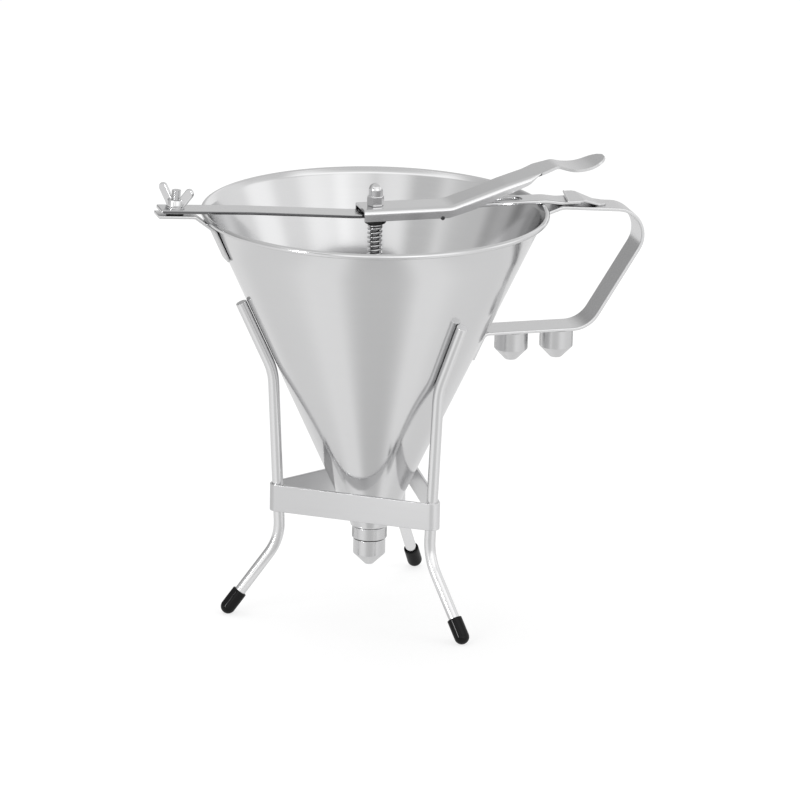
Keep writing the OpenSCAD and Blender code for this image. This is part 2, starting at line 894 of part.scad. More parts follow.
// stopper: flat disc on the seat, hub above it and a nose in the bore
module stopper() {
    disc = 2;
    edge = 0.5;
    hub = 5;
    hub_wall = 1.6;
    nose = spout_bore / 2 - 0.5;
    nose_tip = 1.5;
    nose_length = 6;
    color("silver")
        placed()
            difference() {
                rotate_extrude()
                    polygon([
                        [0, seat_height - nose_length],
                        [nose_tip, seat_height - nose_length],
                        [nose, seat_height],
                        [stopper_diameter / 2, seat_height],
                        [stopper_diameter / 2, seat_height + disc - edge],
                        [stopper_diameter / 2 - edge, seat_height + disc],
                        [rod_radius + hub_wall, seat_height + disc],
                        [rod_radius + hub_wall, seat_height + disc + hub],
                        [0, seat_height + disc + hub]
                    ]);
                translate([0, 0, rod_bottom])
                    cylinder(h = disc + 2 * hub, r = rod_radius);
            }
}

module spring_collar() {
    rim = 1.4;          // beyond the spring's middle line
    color("silver")
        placed()
            ring(spring_bottom - collar_height, collar_height, rod_radius, spring_radius + rim);
}

// acorn nut: hexagon and dome over the rod's end
module acorn_nut() {
    color("silver")
        placed()
            difference() {
                union() {
                    translate([0, 0, nut_bottom])
                        rotate([0, 0, 30])
                            cylinder(h = nut_height, r = nut_corner, $fn = 6);
                    translate([0, 0, nut_bottom])
                        cylinder(h = dome_middle - nut_bottom, r = dome_radius);
                    translate([0, 0, dome_middle])
                        sphere(r = dome_radius);
                }
                translate([0, 0, nut_bottom - 1])
                    cylinder(h = dome_middle - nut_bottom + 1, r = rod_radius);
            }
}

stand_leg_left();
stand_leg_right();
stand_leg_back();
stand_band();
foot_cap_left();
foot_cap_right();
foot_cap_back();
funnel_cone();
spout();
knurled_ring();
handle_strap();
handle_clip();
spare_studs();
bar_bracket();
bracket_stud();
bar_spacer();
cross_bar();
spring_buffer();
spring();
wing_washer();
wing_nut();
nozzle_seal();
nozzle();
spare_nozzle_1();
spare_nozzle_2();
lever();
keeper_pin();
valve_rod();
stopper();
spring_collar();
acorn_nut();
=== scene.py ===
# Looks of the pancake batter dispenser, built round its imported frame.
# Lengths are in millimetres and heights count from the table; placePiece turns them into the frame's metres.
import math

import bmesh
import bpy
from mathutils import Matrix, Vector


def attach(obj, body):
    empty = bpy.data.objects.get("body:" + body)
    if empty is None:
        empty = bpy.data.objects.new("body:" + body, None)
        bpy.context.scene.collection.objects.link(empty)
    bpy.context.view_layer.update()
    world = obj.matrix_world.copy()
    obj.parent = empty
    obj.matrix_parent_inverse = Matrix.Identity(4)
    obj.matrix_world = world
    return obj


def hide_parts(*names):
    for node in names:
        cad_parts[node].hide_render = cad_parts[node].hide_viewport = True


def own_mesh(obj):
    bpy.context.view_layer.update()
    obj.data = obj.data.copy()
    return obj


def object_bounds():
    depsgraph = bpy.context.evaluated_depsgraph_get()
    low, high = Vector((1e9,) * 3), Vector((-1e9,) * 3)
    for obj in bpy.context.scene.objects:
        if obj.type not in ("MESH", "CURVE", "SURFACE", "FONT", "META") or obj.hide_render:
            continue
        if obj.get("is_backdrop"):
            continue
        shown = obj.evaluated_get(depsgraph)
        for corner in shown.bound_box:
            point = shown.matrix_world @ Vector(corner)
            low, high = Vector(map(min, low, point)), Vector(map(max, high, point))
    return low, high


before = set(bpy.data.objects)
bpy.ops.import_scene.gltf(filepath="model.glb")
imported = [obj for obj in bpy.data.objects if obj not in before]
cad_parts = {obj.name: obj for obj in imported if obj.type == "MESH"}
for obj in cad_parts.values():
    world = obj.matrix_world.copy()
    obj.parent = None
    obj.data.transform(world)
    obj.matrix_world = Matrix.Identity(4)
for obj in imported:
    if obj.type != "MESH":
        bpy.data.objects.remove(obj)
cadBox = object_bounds()

outletHeight = 25.0
straightUp = Vector((0, 0, 1))
alongBar = Vector((1, 0, 0))
acrossBar = Vector((0, 1, 0))
onSide = Matrix.Rotation(math.pi / 2, 4, "X")


class Sock:
    # an output socket that can be added, multiplied and so on
    def __init__(self, tree, out):
        self.tree = tree
        self.out = out

    def maths(self, operation, first, second=0.0):
        made = self.tree.nodes.new("ShaderNodeMath")
        made.operation = operation
        for place, value in zip(made.inputs, (first, second)):
            if isinstance(value, Sock):
                self.tree.links.new(value.out, place)
            else:
                place.default_value = value
        return Sock(self.tree, made.outputs[0])

    def __add__(self, other):
        return self.maths("ADD", self, other)

    __radd__ = __add__

    def __mul__(self, other):
        return self.maths("MULTIPLY", self, other)

    def __sub__(self, other):
        return self.maths("SUBTRACT", self, other)

    def __rsub__(self, other):
        return self.maths("SUBTRACT", other, self)

    def __pow__(self, other):
        return self.maths("POWER", self, other)


class Nodes:
    # a node tree; node() makes any node in it
    def __init__(self, tree):
        self.tree = tree

    def node(self, kind, settings=None, plugs=None, output=0):
        made = self.tree.nodes.new("ShaderNode" + kind)
        for key, value in (settings or {}).items():
            setattr(made, key, value)
        for key, value in (plugs or {}).items():
            self.plug(value, made.inputs[key])
        return Sock(self.tree, made.outputs[output])

    def plug(self, value, place):
        if isinstance(value, Sock):
            self.tree.links.new(value.out, place)
        else:
            place.default_value = value

    def ramp(self, value, low, high, start=0.0, end=1.0):
        # soft step from start to end while value goes from low to high
        return self.node("MapRange", {"interpolation_type": "SMOOTHSTEP"},
                         {"Value": value, "From Min": low, "From Max": high, "To Min": start, "To Max": end})

    def along(self, vector, way):
        return self.node("VectorMath", {"operation": "DOT_PRODUCT"}, {0: vector, 1: way}, output="Value")

    def rays(self):
        # what the camera sees, and what is mirrored
        return [self.node("LightPath", output=name) for name in ("Is Camera Ray", "Is Glossy Ray")]


class Finish(Nodes):
    # a material round one principled shader
    def __init__(self, name):
        self.material = bpy.data.materials.new(name)
        self.material.use_nodes = True
        super().__init__(self.material.node_tree)
        self.shader = self.tree.nodes["Principled BSDF"]

    def place(self, stretch):
        # object coordinates, stretched along each axis
        where = self.node("TexCoord", output="Object")
        return self.node("Mapping", None, {"Vector": where, "Scale": stretch})

    def cloud(self, where, scale, detail, rough):
        plugs = {"Vector": where, "Scale": scale, "Detail": detail, "Roughness": rough}
        return self.node("TexNoise", None, plugs)

    def tint(self, mask, first, second):
        # from the first colour to the second as the mask rises
        mixed = self.tree.nodes.new("ShaderNodeMix")
        mixed.data_type = "RGBA"
        self.plug(mask, mixed.inputs[0])
        for value, place in zip((first, second), mixed.inputs[6:8]):
            self.plug(value if isinstance(value, Sock) else (*value, 1), place)
        return Sock(self.tree, mixed.outputs[2])

    def bump(self, height, strength, distance):
        return self.node("Bump", None, {"Height": height, "Strength": strength, "Distance": distance})

    def wear(self, settings):
        # the numbers that are the same all over the surface
        for key, value in settings.items():
            self.plug(value, self.shader.inputs[key])
        return self.material


def roundedLoop(bm, corners, rounds, segments=4):
    # a closed flat outline in the XZ plane, its corners rounded off
    verts = [bm.verts.new((x, 0, z)) for x, z in corners]
    bm.faces.new(verts)
    for vert, size in zip(verts, rounds):
        if size:
            bmesh.ops.bevel(bm, geom=[vert], offset=size, offset_type="OFFSET", segments=segments, profile=0.5,
                            affect="VERTICES", material=-1)
    kept = [f for f in bm.faces if f.is_valid]
    loop = list(kept[0].edges)
    bmesh.ops.delete(bm, geom=kept, context="FACES_ONLY")
    return loop


def vertsOf(edges):
    return list({v for e in edges for v in e.verts})


def vertsIn(geom):
    return [v for v in geom if isinstance(v, bmesh.types.BMVert)]


def edgesIn(geom):
    return [e for e in geom if isinstance(e, bmesh.types.BMEdge)]


def sharpEdges(bm):
    return [e for e in bm.edges if len(e.link_faces) == 2 and e.calc_face_angle(0) > 1.0]


def climb(edge):
    return abs(edge.verts[0].co.z - edge.verts[1].co.z)


def faceOut(bm):
    bmesh.ops.recalc_face_normals(bm, faces=bm.faces)


def roundEdges(bm, edges, size, segments=3):
    bmesh.ops.bevel(bm, geom=edges, offset=size, offset_type="OFFSET", segments=segments, profile=0.5,
                    affect="EDGES", material=-1)


def cutAcross(bm, place, way, **cleared):
    # cuts the mesh by a plane and gives the cut's edges
    cut = bmesh.ops.bisect_plane(bm, geom=bm.verts[:] + bm.edges[:] + bm.faces[:], plane_co=place, plane_no=way,
                                 **cleared)
    return edgesIn(cut["geom_cut"])


def shift(bm, way, verts=None):
    bmesh.ops.translate(bm, verts=bm.verts if verts is None else verts, vec=way)


def moved(bm, place):
    bmesh.ops.transform(bm, matrix=place, verts=bm.verts)
    return bm


def turnBy(bm, angle):
    turn = Matrix.Rotation(math.radians(angle), 3, "Z")
    bmesh.ops.rotate(bm, verts=bm.verts, cent=(0, 0, 0), matrix=turn)


def weld(bm, reach):
    bmesh.ops.remove_doubles(bm, verts=bm.verts, dist=reach)


def chain(bm, points, closed=False):
    # new vertices, and the edges from one to the next
    verts = [bm.verts.new(p) for p in points]
    ends = verts[1:] + verts[:1] if closed else verts[1:]
    return verts, [bm.edges.new(pair) for pair in zip(verts, ends)]


def swing(bm, edges, angle, steps, centre=(0, 0, 0), axis=straightUp, rise=0.0):
    # spins the edges part of a turn or up a screw, and gives the last ones
    spun = bmesh.ops.spin(bm, geom=vertsOf(edges) + edges, cent=centre, axis=axis, dvec=(0, 0, rise),
                          angle=angle, steps=steps, use_merge=False, use_normal_flip=False, use_duplicate=False)
    return edgesIn(spun["geom_last"])


def addPart(bm, part):
    # moves a part's mesh over into bm
    keep = bpy.data.meshes.new("part")
    part.to_mesh(keep)
    part.free()
    bm.from_mesh(keep)
    bpy.data.meshes.remove(keep)


def pathTurns(points, bends):
    # corners, directions, turns at the corners, and what the bends take off the straights
    path = [Vector(p) for p in points]
    ways = [(b - a).normalized() for a, b in zip(path, path[1:])]
    turns = [0.0] + [math.atan2(u.x * v.y - u.y * v.x, u.dot(v)) for u, v in zip(ways, ways[1:])] + [0.0]
    cuts = [r * math.tan(abs(t) / 2) for r, t in zip(bends, turns)]
    return path, ways, turns, cuts


def spinRound(bm, edges, steps):
    bmesh.ops.spin(bm, geom=vertsOf(edges) + edges, cent=(0, 0, 0), axis=straightUp, dvec=(0, 0, 0),
                   angle=2 * math.pi, steps=steps, use_merge=True, use_normal_flip=False, use_duplicate=False)
    weld(bm, 1e-4)


def turnedShape(corners, rounds, steps=96, segments=4):
    # closed outline spun about the axis
    bm = bmesh.new()
    spinRound(bm, roundedLoop(bm, corners, rounds, segments), steps)
    faceOut(bm)
    return bm


def turnedSolid(points, steps):
    # open outline from axis to axis, spun about the axis
    bm = bmesh.new()
    spinRound(bm, chain(bm, [(r, 0, z) for r, z in points])[1], steps)
    faceOut(bm)
    return bm


def ring(inner, outer, low, high, rounds, steps=96):
    return turnedShape([(inner, low), (outer, low), (outer, high), (inner, high)], rounds, steps)


def arcPoints(centre, radius, start, end, count):
    # points on an arc of an outline, angles in degrees
    angles = [math.radians(start + (end - start) * k / count) for k in range(count + 1)]
    return [(centre[0] + radius * math.cos(a), centre[1] + radius * math.sin(a)) for a in angles]


def bendAlong(bm, loop, points, bends, upright=True, finest=7.0):
    # carries an edge loop along straights and round bends; upright is the XZ plane, else the XY plane
    axis = Vector((0, -1, 0)) if upright else straightUp
    lift = (lambda p: Vector((p[0], 0, p[1]))) if upright else (lambda p: Vector((p[0], p[1], 0)))
    path, ways, turns, cuts = pathTurns(points, bends)
    for i, way in enumerate(ways):
        length = (path[i + 1] - path[i]).length - cuts[i] - cuts[i + 1]
        grown = bmesh.ops.extrude_edge_only(bm, edges=loop)["geom"]
        loop = [e for e in edgesIn(grown) if len(e.link_faces) == 1]
        shift(bm, lift(way * length), vertsOf(loop))
        turn = turns[i + 1]
        if abs(turn) > 1e-6:
            side = math.copysign(1, turn)
            centre = path[i + 1] - way * cuts[i + 1] + side * bends[i + 1] * Vector((-way.y, way.x))
            steps = max(2, math.ceil(math.degrees(abs(turn)) / finest))
            loop = swing(bm, loop, turn, steps, lift(centre), axis)
    return loop


def capLoop(bm, loop):
    return bmesh.ops.contextual_create(bm, geom=loop)["faces"]


def softenCaps(bm, caps, size):
    roundEdges(bm, list({e for f in caps if f.is_valid for e in f.edges}), size)


def stripLoop(bm, thickness, width, edge, place, axes):
    # rounded section of a strip, set square to its first straight
    half, flat = thickness / 2, width / 2
    loop = roundedLoop(bm, [(-half, -flat), (half, -flat), (half, flat), (-half, flat)], [edge] * 4, 3)
    turned = Matrix(axes).transposed().to_4x4()
    bmesh.ops.transform(bm, matrix=Matrix.Translation(place) @ turned, verts=vertsOf(loop))
    return loop


def bentStrip(points, bends, thickness, width, edge, soft=None, softEnd=True):
    # an upright strip bent along the points, its end faces softened
    bm = bmesh.new()
    way = (Vector(points[1]) - Vector(points[0])).normalized()
    axes = (Vector((-way.y, 0, way.x)), Vector((way.x, 0, way.y)), acrossBar)
    loop = stripLoop(bm, thickness, width, edge, (points[0][0], 0, points[0][1]), axes)
    caps = capLoop(bm, loop)
    last = capLoop(bm, bendAlong(bm, loop, points, bends))
    softenCaps(bm, caps + last if softEnd else caps, soft or edge * 0.8)
    faceOut(bm)
    return bm


def meet(a, b, c, d):
    # where the line through a and b meets the line through c and d
    a, b, c, d = (Vector(p) for p in (a, b, c, d))
    e, f, g = b - a, d - c, c - a
    return tuple(a + e * ((g.x * f.y - g.y * f.x) / (e.x * f.y - e.y * f.x)))


def screwThread(bm, radius, depth, pitch, low, high):
    # one V of thread spun up the axis, cut level at both ends and closed
    turns, steps = math.ceil((high - low) / pitch) + 2, 24
    outline = [(radius - depth, -pitch / 2), (radius - depth * 0.9, -pitch * 0.42), (radius, -pitch * 0.07),
               (radius, pitch * 0.07), (radius - depth * 0.9, pitch * 0.42), (radius - depth, pitch / 2)]
    edges = chain(bm, [(r, 0, z + low - pitch) for r, z in outline])[1]
    swing(bm, edges, 2 * math.pi * turns, steps * turns, rise=pitch / steps)
    weld(bm, 1e-3)
    for height, outer in ((low, False), (high, True)):
        capLoop(bm, cutAcross(bm, (0, 0, height), straightUp, clear_outer=outer, clear_inner=not outer))
    faceOut(bm)


def addObject(name, data):
    thing = bpy.data.objects.new(name, data)
    bpy.context.scene.collection.objects.link(thing)
    return thing


def meshObject(name, bm, material):
    mesh = bpy.data.meshes.new(name)
    bm.to_mesh(mesh)
    bm.free()
    mesh.materials.append(material)
    return addObject(name, mesh)


def placePiece(name, bm, body, finish, hides=(), crease=32.0, keepNormals=False):
    # into metres and the frame's own heights, then on to its body
    shift(bm, (0, 0, -outletHeight))
    bmesh.ops.scale(bm, verts=bm.verts, vec=(0.001, 0.001, 0.001))
    piece = meshObject(name, bm, finishes[finish])
    piece.data.shade_smooth()
    piece.data.set_sharp_from_angle(angle=math.radians(crease))
    if not keepNormals:
        evenShading(piece)
    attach(piece, body)
    if hides:
        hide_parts(*hides)
    return piece


def evenShading(piece):
    even = piece.modifiers.new("evenShading", "WEIGHTED_NORMAL")
    even.keep_sharp = True


view = {
    "place": (-0.7585, -2.8046, 0.9648),
    "azimuth": -15.43,
    "elevation": 16.72,
    "roll": 1.15,
    "focalPixels": 5677.6,
    "imageWidth": 800,
    "sensor": 36,
}


def addCamera():
    azimuth, elevation = math.radians(view["azimuth"]), math.radians(view["elevation"])
    right = Vector((math.cos(azimuth), math.sin(azimuth), 0))
    back = Vector((math.sin(azimuth) * math.cos(elevation), -math.cos(azimuth) * math.cos(elevation),
                   math.sin(elevation)))
    up = back.cross(right)
    turned = Matrix((right, up, back)).transposed() @ Matrix.Rotation(math.radians(view["roll"]), 3, "Z")
    lens = bpy.data.cameras.new("viewCamera")
    lens.sensor_width = view["sensor"]
    lens.lens = view["focalPixels"] * view["sensor"] / view["imageWidth"]
    lens.clip_end = 50
    camera = addObject("viewCamera", lens)
    camera.matrix_world = Matrix.Translation(view["place"]) @ turned.to_4x4()
    bpy.context.scene.camera = camera


stage = {
    "floorSize": 9.0,
    "floorGrey": 0.82,
    "glow": 0.74,           # with the kept share of its own shading the floor shows as white, 1
    "shadowKept": 0.42,     # share of the floor's own shading that stays in view
    "front": -105.43,       # direction to the camera, in degrees from +X
    "mirrored": 0.78,       # share of the tent's light on the floor that the metal mirrors
    # turn from the camera, half width, and change of the light that the metal mirrors off the floor
    "patches": [(4, 38, -0.35), (-95, 42, -0.14), (97, 42, -0.13)],
}


def levelWay(turn):
    angle = math.radians(stage["front"] + turn)
    return (math.cos(angle), math.sin(angle), 0)


def patchwork(nodes, way, patches):
    # bright and dim stretches of the tent round the object
    flat = nodes.node("VectorMath", {"operation": "MULTIPLY"}, {0: way, 1: (1, 1, 0)})
    flat = nodes.node("VectorMath", {"operation": "NORMALIZE"}, {0: flat})
    total = 0.0
    for turn, reach, amount in patches:
        near = nodes.ramp(nodes.along(flat, levelWay(turn)), math.cos(math.radians(reach)), 1.0)
        total = near * amount + total
    return total


def addStage():
    finish = Finish("paleFloor")
    camera, glossy = finish.rays()
    kept = 1 - camera * (1 - stage["shadowKept"]) - glossy * stage["mirrored"]
    finish.plug(kept * stage["floorGrey"], finish.shader.inputs["Base Color"])
    finish.wear({"Roughness": 0.9, "Specular IOR Level": 0.0})
    tent = patchwork(finish, finish.node("TexCoord", output="Object"), stage["patches"]) + 1.0
    level = camera * stage["glow"] + tent * glossy * stage["mirrored"]
    glow = finish.node("Emission", None, {"Color": (1, 1, 1, 1), "Strength": level})
    added = finish.node("AddShader", None, {0: Sock(finish.tree, finish.shader.outputs[0]), 1: glow})
    finish.plug(added, finish.tree.nodes["Material Output"].inputs["Surface"])
    bm = bmesh.new()
    bmesh.ops.create_grid(bm, x_segments=2, y_segments=2, size=stage["floorSize"] / 2)
    shift(bm, (0, 0, -outletHeight / 1000))
    floor = meshObject("floor", bm, finish.material)
    floor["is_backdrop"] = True


lamps = {
    "worldLight": 0.60,     # what matt things get from all round
    "mirrorLight": 0.95,    # what metal mirrors of the tent's walls
    # turn from the camera, half width, and change of the light that the metal mirrors off the walls
    "patches": [(-15, 17, 0.36), (18, 19, 0.42), (40, 26, 0.40), (95, 17, 0.25), (158, 18, 0.16),
                (180, 22, -0.12), (-164, 20, -0.14), (-143, 30, -0.52), (-112, 22, -0.46), (-80, 28, -0.31),
                (-38, 20, -0.34)],
    # the heights are sines of the angle above the table
    "patchFade": (0.80, 0.35), "topDim": 0.22, "dimFrom": (0.45, 0.65),
    "highGlow": 0.55, "glowFrom": (0.58, 0.70), "glowTo": (0.88, 0.76), "glowFront": (0.0, 0.3),
    "boxes": [
        # name, size across and up, place, strength
        ("leftBox", (1.5, 1.3), (-2.1, -1.5, 1.25), 16),
        ("rightBox", (1.3, 1.2), (2.2, -1.1, 1.15), 9),
        ("topBox", (1.8, 1.3), (0.0, 0.5, 2.3), 15),
        ("stripLight", (0.22, 0.75), (-2.0, -1.0, 0.45), 11),      # only for glints
    ],
}


def addLight():
    world = bpy.data.worlds.new("lightTent")
    bpy.context.scene.world = world
    world.use_nodes = True
    nodes = Nodes(world.node_tree)
    camera, glossy = nodes.rays()
    way = nodes.node("TexCoord", output="Generated")
    rise = nodes.along(way, (0, 0, 1))
    low = nodes.ramp(rise, *lamps["patchFade"])
    high = (nodes.ramp(rise, *lamps["glowFrom"]) * nodes.ramp(rise, *lamps["glowTo"])
            * nodes.ramp(nodes.along(way, levelWay(0)), *lamps["glowFront"]))
    tent = (lamps["mirrorLight"] + patchwork(nodes, way, lamps["patches"]) * low
            - nodes.ramp(rise, *lamps["dimFrom"]) * lamps["topDim"] + high * lamps["highGlow"])
    strength = camera + glossy * tent + (1 - camera - glossy) * lamps["worldLight"]
    nodes.plug(strength, nodes.tree.nodes["Background"].inputs["Strength"])
    nodes.plug((1, 1, 1, 1), nodes.tree.nodes["Background"].inputs["Color"])
    for name, size, place, power in lamps["boxes"]:
        lamp = bpy.data.lights.new(name, "AREA")
        lamp.shape = "RECTANGLE"
        lamp.size, lamp.size_y = size
        lamp.energy = power
        thing = addObject(name, lamp)
        aim = Vector((0, 0, 0.1)) - Vector(place)
        thing.matrix_world = Matrix.Translation(place) @ aim.to_track_quat("-Z", "Y").to_matrix().to_4x4()
        thing.visible_glossy = name == "stripLight"
        thing.visible_diffuse = name != "stripLight"


steel = {
    # slot, grey, roughness, stretch of the drawn lines, their scale and their depth
    "mirrorSheet": ("polished_steel", 0.74, 0.13, (1, 1, 30), 26.0, 0.05),
    "rolledStrip": ("sheet_steel", 0.76, 0.24, (4, 90, 40), 12.0, 0.10),
    "barStrip": ("sheet_steel", 0.74, 0.22, (4, 90, 40), 12.0, 0.10),
    "leverSheet": ("sheet_steel", 0.74, 0.20, (4, 90, 40), 12.0, 0.10),
    "bandStrip": ("sheet_steel", 0.80, 0.30, (3, 3, 120), 12.0, 0.10),
    "drawnWire": ("wire_steel", 0.80, 0.20, (110, 110, 4), 10.0, 0.08),
    "turnedSteel": ("turned_steel", 0.70, 0.25, (2, 2, 220), 14.0, 0.12),
    "springSteel": ("turned_steel", 0.78, 0.16, (60, 60, 8), 20.0, 0.06),
    # the valve rod's grey is lowered to 0.34 as painted shade, the dark seen between the spring's turns
    "paintedShadeRodSteel": ("turned_steel", 0.34, 0.26, (2, 2, 220), 14.0, 0.12),
    "pressedSteel": ("turned_steel", 0.76, 0.17, (60, 60, 60), 10.0, 0.10),
}
steelWear = {
    "cloudScale": 18.0, "cloudRough": 0.05, "lineRough": 0.07,
    # painted shade on left parts: darkened fully up to x, not at all from x, how far, to which grey, and only
    # on the cut side
    "paintedShade": {"barStrip": (0.02, 0.05, 0.85, 0.09, True), "bandStrip": (-0.05, 0.04, 0.32, 0.25, False)},
}


def warmGrey(level):
    return (level, level, level + 0.005)


def steelFinish(name, grey, rough, lines, lineScale, lineBump):
    # stainless steel: soft clouds, drawn or turned lines and a roughness that varies with them, painted shade
    # towards the outlines, and on some pieces a painted darker left part
    f = Finish(name)
    clouds = f.cloud(f.place((1, 1, 1)), steelWear["cloudScale"], 4.0, 0.55)
    drawn = f.cloud(f.place(lines), lineScale, 2.0, 0.6)
    low = tuple(c * 0.93 for c in warmGrey(grey))
    # painted shade: the colour darkens towards grey 0.28 where the surface turns away from the view, at the
    # outlines
    edge = f.node("LayerWeight", None, {"Blend": 0.5}, output="Facing")
    colour = f.tint(clouds * 0.6 + drawn * 0.4, low, warmGrey(grey))
    colour = f.tint((edge ** 4.0) * 0.8, colour, warmGrey(0.28))
    # painted shade: the left part of the bar's cut sides, and the left part of the band, darkened towards the
    # given grey
    if name in steelWear["paintedShade"]:
        start, end, amount, dark, sideOnly = steelWear["paintedShade"][name]
        share = f.ramp(f.along(f.node("TexCoord", output="Object"), alongBar), end, start) * amount
        if sideOnly:
            side = f.along(f.node("TexCoord", output="Normal"), acrossBar)
            share = f.ramp(side * side, 0.5, 0.95) * share
        colour = f.tint(share, colour, warmGrey(dark))
    f.plug(colour, f.shader.inputs["Base Color"])
    cloudRough, lineRough = steelWear["cloudRough"], steelWear["lineRough"]
    f.plug(drawn * lineRough + clouds * cloudRough + (rough - lineRough / 2 - cloudRough / 2),
           f.shader.inputs["Roughness"])
    f.plug(f.bump(drawn, lineBump, 0.00004), f.shader.inputs["Normal"])
    return f.wear({"Metallic": 1.0, "IOR": 2.5})


def blackFinish(name, grey, rough, grainScale, grainBump, coat, shine):
    f = Finish(name)
    grain = f.cloud(f.place((1, 1, 1)), grainScale, 4.0, 0.6)
    dust = f.cloud(f.place((1, 1, 1)), grainScale * 0.09, 3.0, 0.5)
    f.plug(f.tint(dust, grey, tuple(c * 2.0 + 0.002 for c in grey)), f.shader.inputs["Base Color"])
    f.plug(grain * 0.12 + dust * 0.08 + (rough - 0.1), f.shader.inputs["Roughness"])
    f.plug(f.bump(grain, grainBump, 0.0001), f.shader.inputs["Normal"])
    return f.wear({"Coat Weight": coat, "Coat Roughness": 0.10, "Coat IOR": 1.4, "Specular IOR Level": shine})


black = {
    # slot, grey, roughness, scale and depth of the grain, coat and shine
    "dippedCap": ("foot_rubber", (0.003, 0.003, 0.0032), 0.34, 900.0, 0.05, 0.55, 0.0),
    "mattRubber": ("black_rubber", (0.016, 0.016, 0.016), 0.62, 1400.0, 0.25, 0.0, 0.5),
    "blackPin": ("dark_pin", (0.028, 0.028, 0.030), 0.42, 1200.0, 0.12, 0.0, 0.5),
}

finishes = {name: steelFinish(name, *look[1:]) for name, look in steel.items()}
finishes.update({name: blackFinish(name, *look[1:]) for name, look in black.items()})
addCamera()
addStage()
addLight()
print("camera, stage, light and finishes are made")


coneAngle = math.radians(24.66)
funnel = {
    "beadRadius": 1.5, "beadHeight": 220.699, "rimRadius": 91.0, "wallAtBead": 89.65,
    "across": 1.10,         # the wall's thickness, measured level
    "weldHeight": 47.6, "weldRadius": 10.18, "weldBead": 0.45, "steps": 192,
    "rollLow": 1.9, "rollInside": 0.6, "rollTurn": (-142, 156),     # where the wall meets the roll
}


def coneRadius(height):
    return funnel["wallAtBead"] - (funnel["beadHeight"] - height) * math.tan(coneAngle)


def makeCone():
    # outer wall up into the roll, over it, and down the inner wall
    bead, low = funnel["beadHeight"], funnel["weldHeight"]
    centre, size = (funnel["rimRadius"], bead), funnel["beadRadius"]
    rise = [low + (bead - funnel["rollLow"] - low) * k / 12 for k in range(13)]
    outer = [(coneRadius(z), z) for z in rise]
    roll = arcPoints(centre, size, *funnel["rollTurn"], 22)
    inner = [(coneRadius(z) - funnel["across"], z) for z in [bead - funnel["rollInside"]] + rise[::-1]]
    bm = bmesh.new()
    spinRound(bm, chain(bm, [(r, 0, z) for r, z in outer + roll + inner], True)[1], funnel["steps"])
    faceOut(bm)
    placePiece("coneWall", bm, "funnel", "mirrorSheet", ["funnel_cone"], crease=50, keepNormals=True)


spout = {
    "collar": 9.35, "collarLow": 47.1, "collarHigh": 47.3, "seat": 9.08, "groove": 8.6,
    "thread": 7.0, "tail": 34.9, "bore": 5.0,
    "ringLow": 40.3, "ringTop": 46.8, "ringBore": 7.02, "flutes": 84, "fluteDepth": 0.13,
}


def makeSpout():
    collar, thread, groove, bore = spout["collar"], spout["thread"], spout["groove"], spout["bore"]
    ringTop, tail, weld = spout["ringTop"], spout["tail"], funnel["weldHeight"]
    corners = [(spout["seat"], weld), (funnel["weldRadius"], weld), (collar, spout["collarHigh"]),
               (collar, spout["collarLow"]), (groove, spout["collarLow"]), (groove, ringTop), (thread, ringTop),
               (thread, tail), (bore, tail), (bore, weld)]
    rounds = [0.1, 0.1, 0.08, 0.05, 0, 0, 0.1, 0.3, 0.3, 0.1]
    bm = turnedShape(corners, rounds)
    placePiece("spoutCollar", bm, "funnel", "turnedSteel", ["spout"])
    bm = bmesh.new()         # the weld's low bead between cone and collar
    place = Matrix.Translation((9.9, 0, weld + 0.1)) @ onSide
    bmesh.ops.create_circle(bm, cap_ends=False, segments=12, radius=funnel["weldBead"], matrix=place)
    spinRound(bm, bm.edges[:], 96)
    faceOut(bm)
    placePiece("spoutWeld", bm, "funnel", "turnedSteel")


def flutedShape(corners, rounds, flutes, depth, low, high, outer):
    # a turned shape whose side is pressed in between fine upright ridges
    bm = turnedShape(corners, rounds, steps=flutes * 2, segments=2)
    pressed = []
    for vert in bm.verts:
        radius = math.hypot(vert.co.x, vert.co.y)
        column = round(math.atan2(vert.co.y, vert.co.x) / math.pi * flutes)
        if column % 2 and low <= vert.co.z <= high and radius > outer - 0.02:
            pressed.append(vert)
    bmesh.ops.scale(bm, verts=pressed, vec=(1 - depth / outer, 1 - depth / outer, 1))
    return bm


def makeRing():
    radius, low, high, bore = spout["collar"], spout["ringLow"], spout["ringTop"], spout["ringBore"]
    corners = [(bore, low), (radius, low), (radius, low + 0.75), (radius, high - 0.75), (radius, high),
               (bore, high)]
    bm = flutedShape(corners, [0, 0.35, 0, 0, 0.35, 0], spout["flutes"], spout["fluteDepth"], low + 0.5,
                     high - 0.5, radius)
    placePiece("threadedRing", bm, "funnel", "turnedSteel", ["knurled_ring"], crease=60)


nozzles = {
    # outer radius, straight, taper, radius of the tip
    "inUse": (8.65, 8.3, 6.4, 2.1), "outlet": 1.5, "mouth": outletHeight,
    "spare": (8.95, 9.9, 6.1, 3.1), "spareMouth": 135.5, "flutes": 60, "fluteDepth": 0.14,
    # place along the handle, outlet radius, body and node
    "spares": {"spareNozzleNear": (76.7, 2.0, "spare_near", "spare_nozzle_1"),
               "spareNozzleFar": (101.9, 1.5, "spare_far", "spare_nozzle_2")},
    "throat": 5, "socket": 7.1, "socketDeep": 5, "sealRadius": 8.45, "sealThick": 0.6,
    # radius, depth, pitch, low and high end
    "bossThread": (7.0, 0.55, 1.5, 146.8, 151.6),
}


def nozzleCorners(outer, straight, taper, tip, outlet, mouth):
    top = mouth + taper + straight
    throat, socket, deep = nozzles["throat"], nozzles["socket"], top - nozzles["socketDeep"]
    corners = [(outer, top), (outer, mouth + taper), (tip, mouth), (outlet, mouth), (outlet, mouth + 3),
               (throat, deep - 1.2), (throat, deep), (socket, deep), (socket, top)]
    return corners, [0.4, 0.35, 0.3, 0.15, 0.2, 0.1, 0, 0.1, 0.2]


